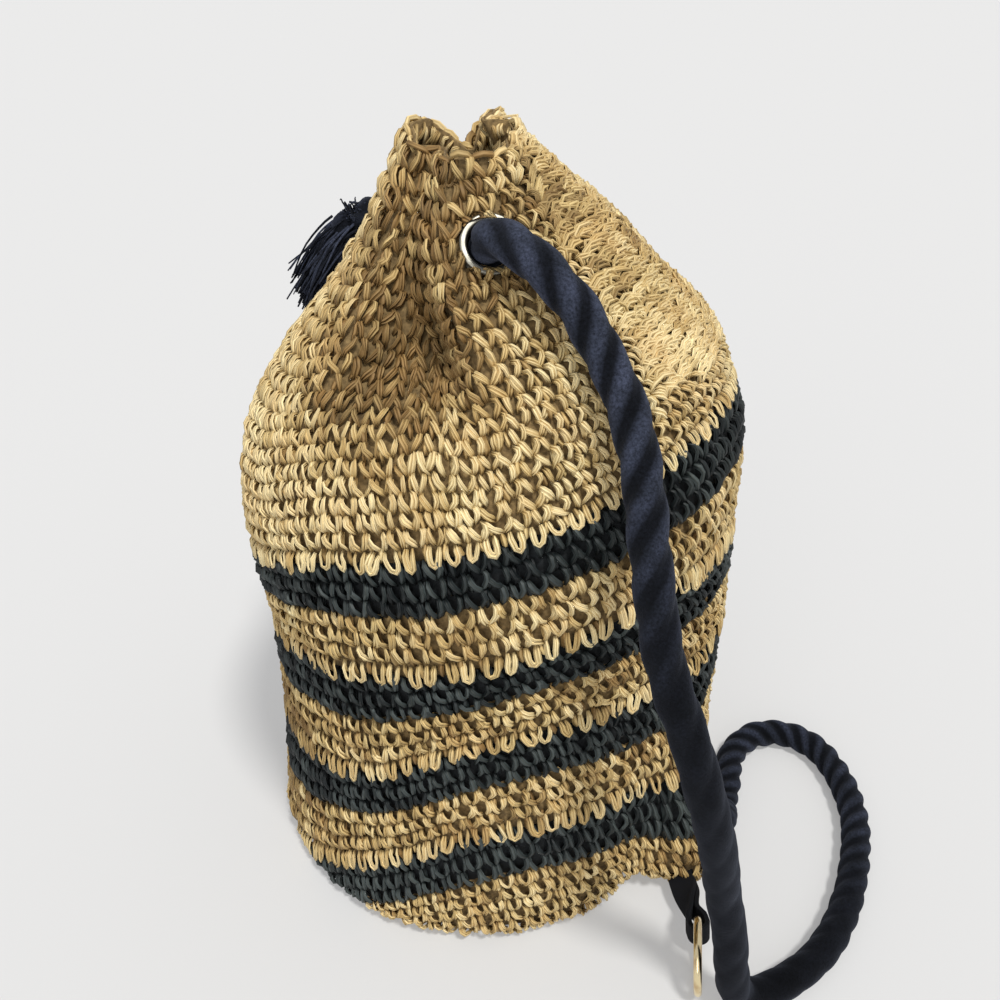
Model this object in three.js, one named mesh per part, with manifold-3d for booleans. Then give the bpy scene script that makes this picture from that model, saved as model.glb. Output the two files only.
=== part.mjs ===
// A drawstring bucket backpack crocheted from straw cord, with four dark stripes, three metal
// eyelets, one thick twisted rope and a webbing tab with a ring at its lower front corner.
// Millimetres, +Z up. The origin is on the floor, at the middle of the base.
// Azimuths are in degrees about +Z: 0 is +X (right), 90 is +Y (back), -90 is the front.
import * as THREE from "three";
import { mergeVertices } from "three/addons/utils/BufferGeometryUtils.js";
import Module from "manifold-3d";

const wasm = await Module();
wasm.setup();

// Driving sizes of the bag
const BAG_HEIGHT = 372; // floor to the mouth's edge
const BODY_RADIUS = 116; // the wall at half height
const WALL = 2.8; // one layer of crochet
const BASE_EDGE = 9; // rounding between the base and the wall
const CORNER_REACH = 28; // how far the lower front corner is pulled out
const CORNER_HEIGHT = 165; // where that pull fades out
const ARCH_LIFT = 10; // how far the base's edge is off the floor left of that corner
const DIMPLE_DEPTH = 37; // the sunken fold left of the front eyelet
const FOLD_DEPTH = 9; // the gathers of the neck
const GAP = 0.3; // clearance between pieces that touch

// Driving sizes of the fittings
const ROPE_DIAMETER = 16;
const EYELET_FLANGE = 2; // width of the flange round the barrel
const EYELET_METAL = 1.1; // thickness of the flange and the barrel
const EYELET_CLEARANCE = 0.9; // between the rope and the barrel
const RING_DIAMETER = 32; // to the middle of the wire
const RING_WIRE = 4;
const TAB_WIDTH = 14;
const TAB_PLY = 2.5; // thickness of each of the tab's two plies
const TAB_LENGTH = 38; // from the ring's wire to under the corner
const KNOT_DIAMETER = 31; // across the knots at the rope's ends

// Sampling
const COLUMN_TURN = 9; // degrees between the wall's columns
const CORNER_COLUMNS = 5; // columns that lie twice as close on each side of the corner
const ROPE_SIDES = 10;
const LATHE_SIDES = 20;

// The wall's reach from the axis at heights up the bag, as shares of BODY_RADIUS.
const SECTIONS = [
  { height: 0.0, left: 1.0, right: 1.04, front: 1.0, back: 0.98 },
  { height: 0.07, left: 0.96, right: 1.05, front: 1.0, back: 0.99 },
  { height: 0.2, left: 0.925, right: 1.065, front: 1.01, back: 1.0 },
  { height: 0.4, left: 0.91, right: 1.07, front: 1.01, back: 1.02 },
  { height: 0.56, left: 0.96, right: 1.05, front: 1.02, back: 1.03 },
  { height: 0.66, left: 0.905, right: 1.04, front: 1.0, back: 1.02 },
  { height: 0.72, left: 0.8, right: 0.985, front: 0.94, back: 0.97 },
  { height: 0.78, left: 0.65, right: 0.89, front: 0.84, back: 0.85 },
  { height: 0.84, left: 0.49, right: 0.69, front: 0.67, back: 0.68 },
  { height: 0.9, left: 0.37, right: 0.5, front: 0.47, back: 0.46 },
  { height: 0.95, left: 0.29, right: 0.3, front: 0.34, back: 0.31 },
  { height: 1.0, left: 0.21, right: 0.13, front: 0.25, back: 0.26 },
];

// The folds of the neck: where each runs at its lower and upper end, how wide it is, how deep as a
// share of FOLD_DEPTH (less than nothing for a ridge), and the heights that it starts and peaks at.
const FOLDS = [
  { low: -116, high: -132, width: 22, depth: 1.2, from: 0.84, full: 0.94 },
  { low: -52, high: -40, width: 20, depth: 0.35, from: 0.84, full: 0.95 },
  { low: 48, high: 46, width: 30, depth: 1.5, from: 0.85, full: 0.98 },
  { low: 114, high: 106, width: 28, depth: 2.8, from: 0.84, full: 0.99 },
  { low: 176, high: 168, width: 22, depth: -0.35, from: 0.84, full: 0.95 },
  { low: 78, high: 76, width: 18, depth: -0.3, from: 0.86, full: 0.97 },
];

// The pocket-like dimple in the front left shoulder: its azimuth low and high up, the heights of
// its foot, its deepest point and its top, and how far its floor and its edge are to each side.
const DIMPLE = { low: -110, high: -128, foot: 0.746, deep: 0.794, top: 0.93, floor: 7, edge: 24 };

// The ridge of the pulled-out corner, and the arch of the base's edge beside it.
const CORNER = { azimuth: -35, width: 15 };
const ARCH = { azimuth: -47, width: 15 };

// Height of the mouth's edge around the bag, as shares of BAG_HEIGHT.
const RIM = [
  { azimuth: -90, height: 0.984 },
  { azimuth: -20, height: 0.995 },
  { azimuth: 76, height: 1.0 },
  { azimuth: 106, height: 0.968 },
  { azimuth: 140, height: 0.996 },
  { azimuth: 172, height: 0.996 },
  { azimuth: 210, height: 0.985 },
];

// Rounds of crochet, counted up from the lower edge of the lowest stripe, and what each band is.
const CENTRE_ROUND = -18;
const RIM_ROUND = 43;
const BANDS = [
  { name: "straw_floor", from: CENTRE_ROUND, to: -9, steps: 2, dark: false },
  { name: "straw_base", from: -9, to: 0, steps: 5, dark: false },
  { name: "navy_stripe_4", from: 0, to: 3, steps: 3, dark: true },
  { name: "straw_band_3", from: 3, to: 7, steps: 3, dark: false },
  { name: "navy_stripe_3", from: 7, to: 10, steps: 1, dark: true },
  { name: "straw_band_2", from: 10, to: 14, steps: 2, dark: false },
  { name: "navy_stripe_2", from: 14, to: 17, steps: 1, dark: true },
  { name: "straw_band_1", from: 17, to: 21, steps: 2, dark: false },
  { name: "navy_stripe_1", from: 21, to: 24, steps: 1, dark: true },
  { name: "straw_shoulder", from: 24, to: 31, steps: 5, dark: false },
  { name: "straw_neck", from: 31, to: RIM_ROUND, steps: 7, dark: false },
];

// The rounds run slanting: the lower edge of the lowest stripe and the upper edges of all four,
// measured up the wall from the floor (below nothing is under the base), as shares of BAG_HEIGHT.
const ROUND_LINES = [
  { azimuth: -180, foot: -0.13, fourth: -0.04, third: 0.177, second: 0.36, first: 0.478 },
  { azimuth: -150, foot: -0.085, fourth: 0.0, third: 0.236, second: 0.414, first: 0.535 },
  { azimuth: -120, foot: 0.02, fourth: 0.108, third: 0.28, second: 0.454, first: 0.608 },
  { azimuth: -90, foot: 0.129, fourth: 0.215, third: 0.374, second: 0.495, first: 0.653 },
  { azimuth: -60, foot: 0.136, fourth: 0.226, third: 0.398, second: 0.535, first: 0.691 },
  { azimuth: -30, foot: 0.094, fourth: 0.21, third: 0.392, second: 0.538, first: 0.726 },
  { azimuth: 0, foot: 0.1, fourth: 0.2, third: 0.36, second: 0.511, first: 0.715 },
  { azimuth: 30, foot: 0.075, fourth: 0.165, third: 0.323, second: 0.478, first: 0.667 },
  { azimuth: 60, foot: 0.035, fourth: 0.118, third: 0.274, second: 0.43, first: 0.597 },
  { azimuth: 90, foot: -0.015, fourth: 0.07, third: 0.231, second: 0.387, first: 0.538 },
  { azimuth: 120, foot: -0.065, fourth: 0.02, third: 0.194, second: 0.35, first: 0.495 },
  { azimuth: 150, foot: -0.115, fourth: -0.03, third: 0.172, second: 0.339, first: 0.473 },
];
const LINE_ROUNDS = [
  { line: "foot", round: 0 },
  { line: "fourth", round: 3 },
  { line: "third", round: 10 },
  { line: "second", round: 17 },
  { line: "first", round: 24 },
];

// Eyelets: where each sits on the wall, as an azimuth and a share of BAG_HEIGHT, and the azimuth
// and the rise that it faces.
const EYELETS = {
  grommet_front: { azimuth: -83, height: 0.912, facing: -80, rise: 36 },
  grommet_back: { azimuth: 134, height: 0.825, facing: 134, rise: 24 },
  grommet_base: { azimuth: -31.5, height: 0.095, facing: 6, rise: 6 },
};

// The free rope's route after it has left the front eyelet, chosen by hand, up to where it turns
// into the base eyelet.
const STRAP_ROUTE = [
  [11.5, -61.5, 346.5],
  [17, -68, 345.5],
  [24, -73.5, 341.5],
  [31.5, -78, 335],
  [39, -81.5, 326.5],
  [44.5, -85.5, 318],
  [49.5, -91, 309.5],
  [54, -97, 302],
  [60, -112, 283],
  [64, -131, 253],
  [70, -147, 218],
  [82, -158, 184],
  [92, -161, 151],
  [100, -157, 120],
  [106, -152, 91],
  [113, -152, 60],
  [117, -153, 34],
  [122.5, -152, 15],
  [134, -149, 8.3],
  [154, -140, 8.3],
  [172, -126, 8.3],
  [190, -102, 8.3],
  [205, -70, 8.3],
  [212, -44, 8.3],
  [211.5, -15, 8.3],
  [203.5, 7, 8.3],
  [188, 18, 8.3],
  [169, 17, 8.3],
  [152, 2, 8.3],
  [145, -19, 8.3],
  [140, -34, 8.6],
  [137, -43, 11.5],
  [134, -51, 18.5],
  [132, -59.5, 27],
  [129, -66.5, 33.5],
];
// The rope inside the mouth, between the front and the back eyelet.
const MOUTH_ROUTE = [
  [1, -27, 324],
  [-7, -9, 315],
  [-19, 7, 306],
];
// The rope inside the bag, from the base eyelet to its knot, and the way back along it.
const BASE_KNOT_ROUTE = [
  [105, -71.5, 36.3],
  [95, -67, 35],
];
const BASE_KNOT = {
  place: new THREE.Vector3(84, -58.5, 33.5),
  normal: new THREE.Vector3(0.8, -0.6, 0.1).normalize(),
};

// The ring stands on its edge and leans a little: where its middle is, the level direction from
// it to the bag, and the direction of its top.
const RING_TOP = new THREE.Vector3(-0.11, 0, 1).normalize();
const RING_TO_BAG = new THREE.Vector3(0.17, 0.985, 0).normalize();
const RING_ACROSS = 0.914 * BODY_RADIUS;
const RING_IN_FRONT = 1.172 * BODY_RADIUS;
const RING_HEIGHT = (RING_DIAMETER / 2) * RING_TOP.z + RING_WIRE / 2;
const RING_PLACE = new THREE.Vector3(RING_ACROSS, -RING_IN_FRONT, RING_HEIGHT);
// The way that the tab runs from the ring's wire to the corner, and how far it turns on the way.
const TAB_RUN = new THREE.Vector3(-0.07, 0.96, -0.2).normalize();
const TAB_TWIST = 72;

// Colours and finishes
const FINISHES = {
  straw: { color: 0xc9aa76, roughness: 0.75, metalness: 0 },
  navy: { color: 0x16202a, roughness: 0.65, metalness: 0 },
  rope: { color: 0x26283f, roughness: 0.95, metalness: 0 },
  webbing: { color: 0x23252d, roughness: 0.85, metalness: 0 },
  nickel: { color: 0xc9c5b4, roughness: 0.25, metalness: 1 },
  brass: { color: 0xc8b070, roughness: 0.3, metalness: 1 },
};

const radians = THREE.MathUtils.degToRad;
const upward = new THREE.Vector3(0, 0, 1);

// A smooth curve through the rows of a table, read at x; period joins its ends.
function readTable(rows, key, column, x, period = 0) {
  let list = rows;
  if (period) {
    const shifted = (row, by) => ({ ...row, [key]: row[key] + by });
    list = [shifted(rows.at(-1), -period), ...rows, ...rows.slice(0, 2).map((r) => shifted(r, period))];
    while (x < rows[0][key]) x += period;
    while (x >= rows[0][key] + period) x -= period;
  }
  const at = (i) => list[Math.min(Math.max(i, 0), list.length - 1)];
  let i = 0;
  while (i < list.length - 2 && x > list[i + 1][key]) i += 1;
  const a = at(i);
  const b = at(i + 1);
  const span = b[key] - a[key];
  const share = THREE.MathUtils.clamp((x - a[key]) / span, 0, 1);
  const slope = (p, q) => (q[key] === p[key] ? 0 : (q[column] - p[column]) / (q[key] - p[key]));
  const start = slope(at(i - 1), b) * span;
  const end = slope(a, at(i + 2)) * span;
  const s2 = share * share;
  const s3 = s2 * share;
  return (
    (2 * s3 - 3 * s2 + 1) * a[column] +
    (s3 - 2 * s2 + share) * start +
    (3 * s2 - 2 * s3) * b[column] +
    (s3 - s2) * end
  );
}

// A round bump: 1 in its middle, nothing at and past its half width.
function bump(offset, halfWidth) {
  const t = Math.abs(offset) / halfWidth;
  return t >= 1 ? 0 : Math.cos((t * Math.PI) / 2) ** 2;
}

// The short way from one azimuth to another, in degrees.
function turnBetween(a, b) {
  return ((((a - b) % 360) + 540) % 360) - 180;
}

// How far the wall is from the axis at an azimuth and a height.
function wallRadius(azimuth, height) {
  const share = height / BAG_HEIGHT;
  const column = (name) => readTable(SECTIONS, "height", name, share) * BODY_RADIUS;
  const c = Math.cos(radians(azimuth));
  const s = Math.sin(radians(azimuth));
  const across = c > 0 ? column("right") : column("left");
  const along = s > 0 ? column("back") : column("front");
  let radius = 1 / Math.hypot(c / across, s / along);
  for (const fold of FOLDS) {
    const rise = THREE.MathUtils.smoothstep(share, fold.from, fold.full);
    const middle = THREE.MathUtils.lerp(fold.low, fold.high, rise);
    radius -= FOLD_DEPTH * fold.depth * rise * bump(turnBetween(azimuth, middle), fold.width);
  }
  const fade = THREE.MathUtils.smoothstep(share, DIMPLE.deep, DIMPLE.top);
  const dimpleUp = THREE.MathUtils.smoothstep(share, DIMPLE.foot, DIMPLE.deep) * (1 - fade);
  const offMiddle = Math.abs(turnBetween(azimuth, THREE.MathUtils.lerp(DIMPLE.low, DIMPLE.high, fade)));
  radius -= DIMPLE_DEPTH * dimpleUp * (1 - THREE.MathUtils.smoothstep(offMiddle, DIMPLE.floor, DIMPLE.edge));
  const cornerUp = THREE.MathUtils.clamp(1 - height / CORNER_HEIGHT, 0, 1) ** 1.4;
  return radius + CORNER_REACH * cornerUp * bump(turnBetween(azimuth, CORNER.azimuth), CORNER.width);
}

// The wall's profile at one azimuth: distance along it, reach from the axis and height, from the
// middle of the base to the mouth. Where the rounded edge ends, the distance is the height.
const profiles = new Map();
function profileAt(azimuth) {
  if (profiles.has(azimuth)) return profiles.get(azimuth);
  const rim = readTable(RIM, "azimuth", "height", azimuth, 360) * BAG_HEIGHT;
  const corner = bump(turnBetween(azimuth, CORNER.azimuth), CORNER.width);
  const arch = bump(turnBetween(azimuth, ARCH.azimuth), ARCH.width);
  const lift = ARCH_LIFT * arch;
  const flatReach = wallRadius(azimuth, 0) - BASE_EDGE - CORNER_REACH * Math.max(corner, arch) - WALL;
  const points = [{ reach: 0, height: 0 }, { reach: flatReach, height: 0 }];
  const arcSteps = 6;
  for (let i = 0; i <= arcSteps; i += 1) {
    const turn = (i / arcSteps) * (Math.PI / 2);
    const height = lift + BASE_EDGE * (1 - Math.cos(turn));
    points.push({ reach: wallRadius(azimuth, height) - BASE_EDGE * (1 - Math.sin(turn)), height });
  }
  const wallSteps = 60;
  const wallFoot = lift + BASE_EDGE;
  for (let i = 1; i <= wallSteps; i += 1) {
    const height = wallFoot + (rim - wallFoot) * (i / wallSteps);
    points.push({ reach: wallRadius(azimuth, height), height });
  }
  let run = 0;
  points.forEach((p, i) => {
    if (i) run += Math.hypot(p.reach - points[i - 1].reach, p.height - points[i - 1].height);
    p.along = run;
  });
  const shift = wallFoot - points[arcSteps + 2].along;
  for (const p of points) p.along += shift;
  profiles.set(azimuth, points);
  return points;
}

// The distance along the profile of a round of crochet.
function roundAlong(azimuth, round) {
  const profile = profileAt(azimuth);
  const knots = [
    { round: CENTRE_ROUND, along: profile[0].along },
    ...LINE_ROUNDS.map(({ line, round: at }) => ({
      round: at,
      along: readTable(ROUND_LINES, "azimuth", line, azimuth, 360) * BAG_HEIGHT,
    })),
    { round: RIM_ROUND, along: profile.at(-1).along },
  ];
  let i = 0;
  while (i < knots.length - 2 && round > knots[i + 1].round) i += 1;
  const share = (round - knots[i].round) / (knots[i + 1].round - knots[i].round);
  return THREE.MathUtils.lerp(knots[i].along, knots[i + 1].along, share);
}

// A point in the middle of the wall, before the eyelets press it flat.
function loosePoint(azimuth, along) {
  const profile = profileAt(azimuth);
  let i = 0;
  while (i < profile.length - 2 && along > profile[i + 1].along) i += 1;
  const share = (along - profile[i].along) / (profile[i + 1].along - profile[i].along);
  const reach = THREE.MathUtils.lerp(profile[i].reach, profile[i + 1].reach, share);
  const height = THREE.MathUtils.lerp(profile[i].height, profile[i + 1].height, share);
  const a = radians(azimuth);
  return new THREE.Vector3(Math.cos(a) * reach, Math.sin(a) * reach, height + WALL / 2);
}

// A point in the middle of the wall.
const seats = {};
function wallPoint(azimuth, along) {
  const point = loosePoint(azimuth, along);
  for (const { place, normal } of Object.values(seats)) {
    const off = point.clone().sub(place);
    const proud = off.dot(normal);
    const away = off.addScaledVector(normal, -proud).length();
    if (Math.abs(proud) > PATCH_RADIUS) continue;
    const hold = 1 - THREE.MathUtils.smoothstep(away, PATCH_RADIUS, PATCH_RADIUS * 1.9);
    point.addScaledVector(normal, -proud * hold);
  }
  return point;
}

// The outward direction of the wall there.
function wallNormal(azimuth, along) {
  const turn = 2;
  const step = 3;
  const around = wallPoint(azimuth + turn, along).sub(wallPoint(azimuth - turn, along));
  const up = wallPoint(azimuth, along + step).sub(wallPoint(azimuth, along - step));
  return around.cross(up).normalize();
}

// The azimuths of the wall's columns: they lie closer at the corner's ridge.
function columnAzimuths() {
  const close = COLUMN_TURN / 2;
  const azimuths = [];
  for (let i = -CORNER_COLUMNS; i < CORNER_COLUMNS; i += 1) azimuths.push(CORNER.azimuth + i * close);
  const rest = 360 - 2 * CORNER_COLUMNS * close;
  const count = Math.round(rest / COLUMN_TURN);
  for (let i = 0; i < count; i += 1) azimuths.push(CORNER.azimuth + CORNER_COLUMNS * close + (rest * i) / count);
  return azimuths;
}
const COLUMNS = columnAzimuths();

// A closed mesh from vertex positions and triangles.
function meshGeometry(points, triangles) {
  const geometry = new THREE.BufferGeometry();
  geometry.setAttribute("position", new THREE.Float32BufferAttribute(points.flatMap((p) => p.toArray()), 3));
  geometry.setIndex(triangles);
  return geometry;
}

// The rounds that a band's rows of corners lie on.
function rowRounds({ from, to, steps }) {
  return Array.from({ length: steps + 1 }, (_, k) => from + ((to - from) * k) / steps);
}

// One band of crochet: the wall between two rounds, or the solid that the wall encloses.
function bandGeometry(rounds, grow = 0, filled = false) {
  const closed = rounds[0] === CENTRE_ROUND;
  const steps = rounds.length - 1;
  const points = [];
  const grid = (side) => {
    const rows = [];
    for (const [k, round] of rounds.entries()) {
      const row = [];
      for (const [i, azimuth] of COLUMNS.entries()) {
        let along = roundAlong(azimuth, round);
        if (k === 0 && !closed) along += GAP;
        if (k === steps) along -= GAP;
        const pole = closed && k === 0;
        if (pole && i) {
          row.push(row[0]);
          continue;
        }
        const normal = pole ? upward.clone().negate() : wallNormal(azimuth, along);
        const offset = side > 0 ? WALL / 2 + grow : -WALL / 2;
        points.push(wallPoint(azimuth, along).addScaledVector(normal, offset));
        row.push(points.length - 1);
      }
      rows.push(row);
    }
    return rows;
  };
  const triangles = [];
  const strip = (low, high, outward = true) => {
    const face = (a, b, c) => triangles.push(...(outward ? [a, b, c] : [a, c, b]));
    for (let i = 0; i < COLUMNS.length; i += 1) {
      const j = (i + 1) % COLUMNS.length;
      if (low[i] !== low[j]) face(low[i], low[j], high[j]);
      if (high[i] !== high[j]) face(low[i], high[j], high[i]);
    }
  };
  const outer = grid(1);
  for (let k = 0; k < steps; k += 1) strip(outer[k], outer[k + 1]);
  if (filled) {
    const lid = outer[steps];
    points.push(new THREE.Vector3(0, 0, points[lid[0]].z));
    strip(lid, lid.map(() => points.length - 1));
    return meshGeometry(points, triangles);
  }
  const inner = grid(-1);
  for (let k = 0; k < steps; k += 1) strip(inner[k], inner[k + 1], false);
  strip(outer[steps], inner[steps]);
  if (!closed) strip(outer[0], inner[0], false);
  return meshGeometry(points, triangles);
}

// three.js geometry to a manifold solid and back.
function solidOf(geometry) {
  const bare = geometry.clone();
  bare.deleteAttribute("normal");
  bare.deleteAttribute("uv");
  const merged = mergeVertices(bare, 1e-3);
  return new wasm.Manifold(
    new wasm.Mesh({
      numProp: 3,
      vertProperties: new Float32Array(merged.attributes.position.array),
      triVerts: new Uint32Array(merged.index.array),
    }),
  );
}

function geometryOf(solid) {
  const mesh = solid.getMesh();
  const geometry = new THREE.BufferGeometry();
  geometry.setAttribute("position", new THREE.BufferAttribute(new Float32Array(mesh.vertProperties), 3));
  geometry.setIndex(new THREE.BufferAttribute(new Uint32Array(mesh.triVerts), 1));
  return geometry;
}

// A matrix that takes +Z to a direction and the origin to a place.
function placement(place, direction) {
  const turn = new THREE.Quaternion().setFromUnitVectors(upward, direction);
  return new THREE.Matrix4().compose(place, turn, new THREE.Vector3(1, 1, 1));
}

// A round disc along a direction, from one distance to another.
function disc(seat, radius, from, to, sides = LATHE_SIDES) {
  const geometry = new THREE.CylinderGeometry(radius, radius, to - from, sides);
  geometry.rotateX(Math.PI / 2);
  geometry.translate(0, 0, (from + to) / 2);
  return solidOf(geometry.applyMatrix4(placement(seat.place, seat.normal)));
}

// Where an eyelet sits: the middle of its hole, and the way that its outer flange faces.
function eyeletSeat({ azimuth, height, facing, rise }) {
  const reach = wallRadius(azimuth, height * BAG_HEIGHT);
  const round = radians(azimuth);
  const place = new THREE.Vector3(Math.cos(round) * reach, Math.sin(round) * reach, height * BAG_HEIGHT + WALL / 2);
  const level = Math.cos(radians(rise));
  const turn = radians(facing);
  const normal = new THREE.Vector3(Math.cos(turn) * level, Math.sin(turn) * level, Math.sin(radians(rise)));
  return { place, normal };
}

const BORE_RADIUS = ROPE_DIAMETER / 2 + EYELET_CLEARANCE;
const BARREL_RADIUS = BORE_RADIUS + EYELET_METAL;
const FLANGE_RADIUS = BARREL_RADIUS + EYELET_FLANGE;
const FLANGE_INNER = WALL / 2 + GAP; // where each flange starts, from the middle of the wall
const FLANGE_OUTER = FLANGE_INNER + EYELET_METAL;
const PATCH_RADIUS = FLANGE_RADIUS + 2; // crochet pressed flat under the flanges

// An eyelet: a barrel through the wall with a flange on each side.
function eyeletGeometry(seat) {
  const corners = [
    [BORE_RADIUS, -FLANGE_OUTER],
    [FLANGE_RADIUS, -FLANGE_OUTER],
    [FLANGE_RADIUS, -FLANGE_INNER],
    [BARREL_RADIUS, -FLANGE_INNER],
    [BARREL_RADIUS, FLANGE_INNER],
    [FLANGE_RADIUS, FLANGE_INNER],
    [FLANGE_RADIUS - EYELET_METAL / 2, FLANGE_OUTER],
    [BORE_RADIUS, FLANGE_OUTER],
    [BORE_RADIUS, -FLANGE_OUTER],
  ];
  const profile = corners.map(([r, h]) => new THREE.Vector2(r, h));
  const geometry = new THREE.LatheGeometry(profile, LATHE_SIDES);
  geometry.rotateX(Math.PI / 2);
  return geometry.applyMatrix4(placement(seat.place, seat.normal));
}

// The wall pressed flat round an eyelet, with room for the flanges and a hole for the barrel.
const ROOM = 14; // how far past the wall the room for the flanges is cleared
function seatEyelet(wall, seat) {
  return wall
    .add(disc(seat, PATCH_RADIUS, -WALL / 2, WALL / 2))
    .subtract(disc(seat, FLANGE_RADIUS + GAP, WALL / 2, ROOM))
    .subtract(disc(seat, FLANGE_RADIUS + GAP, -ROOM, -WALL / 2))
    .subtract(disc(seat, BARREL_RADIUS + GAP, -ROOM, ROOM));
}

// A tube of the rope's section along a smooth curve through points.
function tubeGeometry(points, diameter, steps, sides = ROPE_SIDES) {
  const shape = new THREE.Shape();
  for (let i = 0; i < sides; i += 1) {
    const turn = (i / sides) * Math.PI * 2;
    const corner = [Math.cos(turn) * (diameter / 2), Math.sin(turn) * (diameter / 2)];
    if (i) shape.lineTo(...corner);
    else shape.moveTo(...corner);
  }
  const path = new THREE.CatmullRomCurve3(points, false, "centripetal");
  return new THREE.ExtrudeGeometry(shape, { steps, bevelEnabled: false, extrudePath: path });
}

const asVectors = (rows) => rows.map((row) => new THREE.Vector3(...row));
const along = (seat, distance) => seat.place.clone().addScaledVector(seat.normal, distance);

// A knot's lumps: two crossed turns of rope round its middle.
function knotSolid(middle, direction) {
  const tube = ROPE_DIAMETER / 2;
  const turnRadius = KNOT_DIAMETER / 2 - tube;
  const tilts = [0.45, -0.6];
  const core = new THREE.SphereGeometry(tube, ROPE_SIDES, 6);
  let knot = solidOf(core.applyMatrix4(placement(middle, direction)));
  for (const tilt of tilts) {
    const ring = new THREE.TorusGeometry(turnRadius, tube, 7, 12);
    ring.rotateX(tilt);
    ring.rotateY(tilt / 2);
    knot = knot.add(solidOf(ring.applyMatrix4(placement(middle, direction))));
  }
  return knot;
}

const group = new THREE.Group();
function addPiece(name, geometry, finish) {
  const mesh = new THREE.Mesh(geometry, new THREE.MeshStandardMaterial(FINISHES[finish]));
  mesh.name = name;
  group.add(mesh);
}

const found = Object.entries(EYELETS).map(([name, row]) => [name, eyeletSeat(row)]);
for (const [name, seat] of found) seats[name] = seat;

// The bag: bands of crochet from the base to the mouth
for (const band of BANDS) {
  let geometry = bandGeometry(rowRounds(band));
  if (band.name === "straw_neck") {
    const wall = seatEyelet(solidOf(geometry), seats.grommet_front);
    geometry = geometryOf(seatEyelet(wall, seats.grommet_back));
  }
  if (band.name === "navy_stripe_4") geometry = geometryOf(seatEyelet(solidOf(geometry), seats.grommet_base));
  if (band.name === "straw_base") {
    const notch = disc(seats.grommet_base, PATCH_RADIUS + GAP, -ROOM, ROOM);
    geometry = geometryOf(solidOf(geometry).subtract(notch));
  }
  addPiece(band.name, geometry, band.dark ? "navy" : "straw");
}

// The eyelets
for (const [name, seat] of Object.entries(seats)) {
  addPiece(name, eyeletGeometry(seat), "nickel");
}

// The rope: free strap, the stretch inside the mouth, and its knots
const half = GAP / 2;
const strapRoute = [
  along(seats.grommet_front, half),
  along(seats.grommet_front, FLANGE_OUTER),
  along(seats.grommet_front, FLANGE_OUTER + 6),
  ...asVectors(STRAP_ROUTE),
  along(seats.grommet_base, FLANGE_OUTER + 4),
  along(seats.grommet_base, 0),
  ...asVectors(BASE_KNOT_ROUTE),
  BASE_KNOT.place,
];
addPiece("strap_rope", tubeGeometry(strapRoute, ROPE_DIAMETER, 50), "rope");

const mouthRoute = [
  along(seats.grommet_front, -half),
  along(seats.grommet_front, -FLANGE_OUTER - 2),
  ...asVectors(MOUTH_ROUTE),
  along(seats.grommet_back, -FLANGE_OUTER - 4),
  along(seats.grommet_back, FLANGE_OUTER),
];
addPiece("mouth_rope", tubeGeometry(mouthRoute, ROPE_DIAMETER, 10), "rope");

// The back knot is pressed flat against its eyelet, and its three loose strands fray out of it.
function backKnot() {
  const seat = seats.grommet_back;
  const middle = along(seat, FLANGE_OUTER + KNOT_DIAMETER * 0.4);
  const tails = [
    { lean: [-0.81, -0.55, -0.22], length: 1.2, spread: 0.36 },
    { lean: [-0.68, -0.61, -0.41], length: 1.35, spread: 0.38 },
    { lean: [-0.66, -0.55, -0.52], length: 1.35, spread: 0.36 },
    { lean: [-0.05, -0.3, 0.9], length: 0.6, spread: 0.24 },
  ];
  let knot = knotSolid(middle, seat.normal);
  for (const { lean, length, spread } of tails) {
    const direction = new THREE.Vector3(...lean).normalize();
    const reach = length * KNOT_DIAMETER;
    const strand = new THREE.CylinderGeometry(spread * ROPE_DIAMETER, 0.3 * ROPE_DIAMETER, reach, 10);
    strand.rotateX(Math.PI / 2);
    strand.translate(0, 0, reach / 2);
    knot = knot.add(solidOf(strand.applyMatrix4(placement(middle, direction))));
  }
  const far = KNOT_DIAMETER * 2;
  return knot.subtract(disc(seat, far, -far, FLANGE_OUTER + GAP));
}
addPiece("back_knot", geometryOf(backKnot()), "rope");

// The knot inside the bag, at the rope's other end.
const endKnot = knotSolid(along(BASE_KNOT, -KNOT_DIAMETER * 0.4), BASE_KNOT.normal);
const pressed = disc(BASE_KNOT, KNOT_DIAMETER, -GAP, KNOT_DIAMETER);
addPiece("base_knot", geometryOf(endKnot.subtract(pressed)), "rope");

// The ring stands on its edge, held by the tab that is folded round its wire.
const ringAxis = RING_TO_BAG.clone().cross(RING_TOP).normalize();
const ring = new THREE.TorusGeometry(RING_DIAMETER / 2, RING_WIRE / 2, 8, 28);
addPiece("ring", ring.applyMatrix4(placement(RING_PLACE, ringAxis)), "brass");

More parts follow.
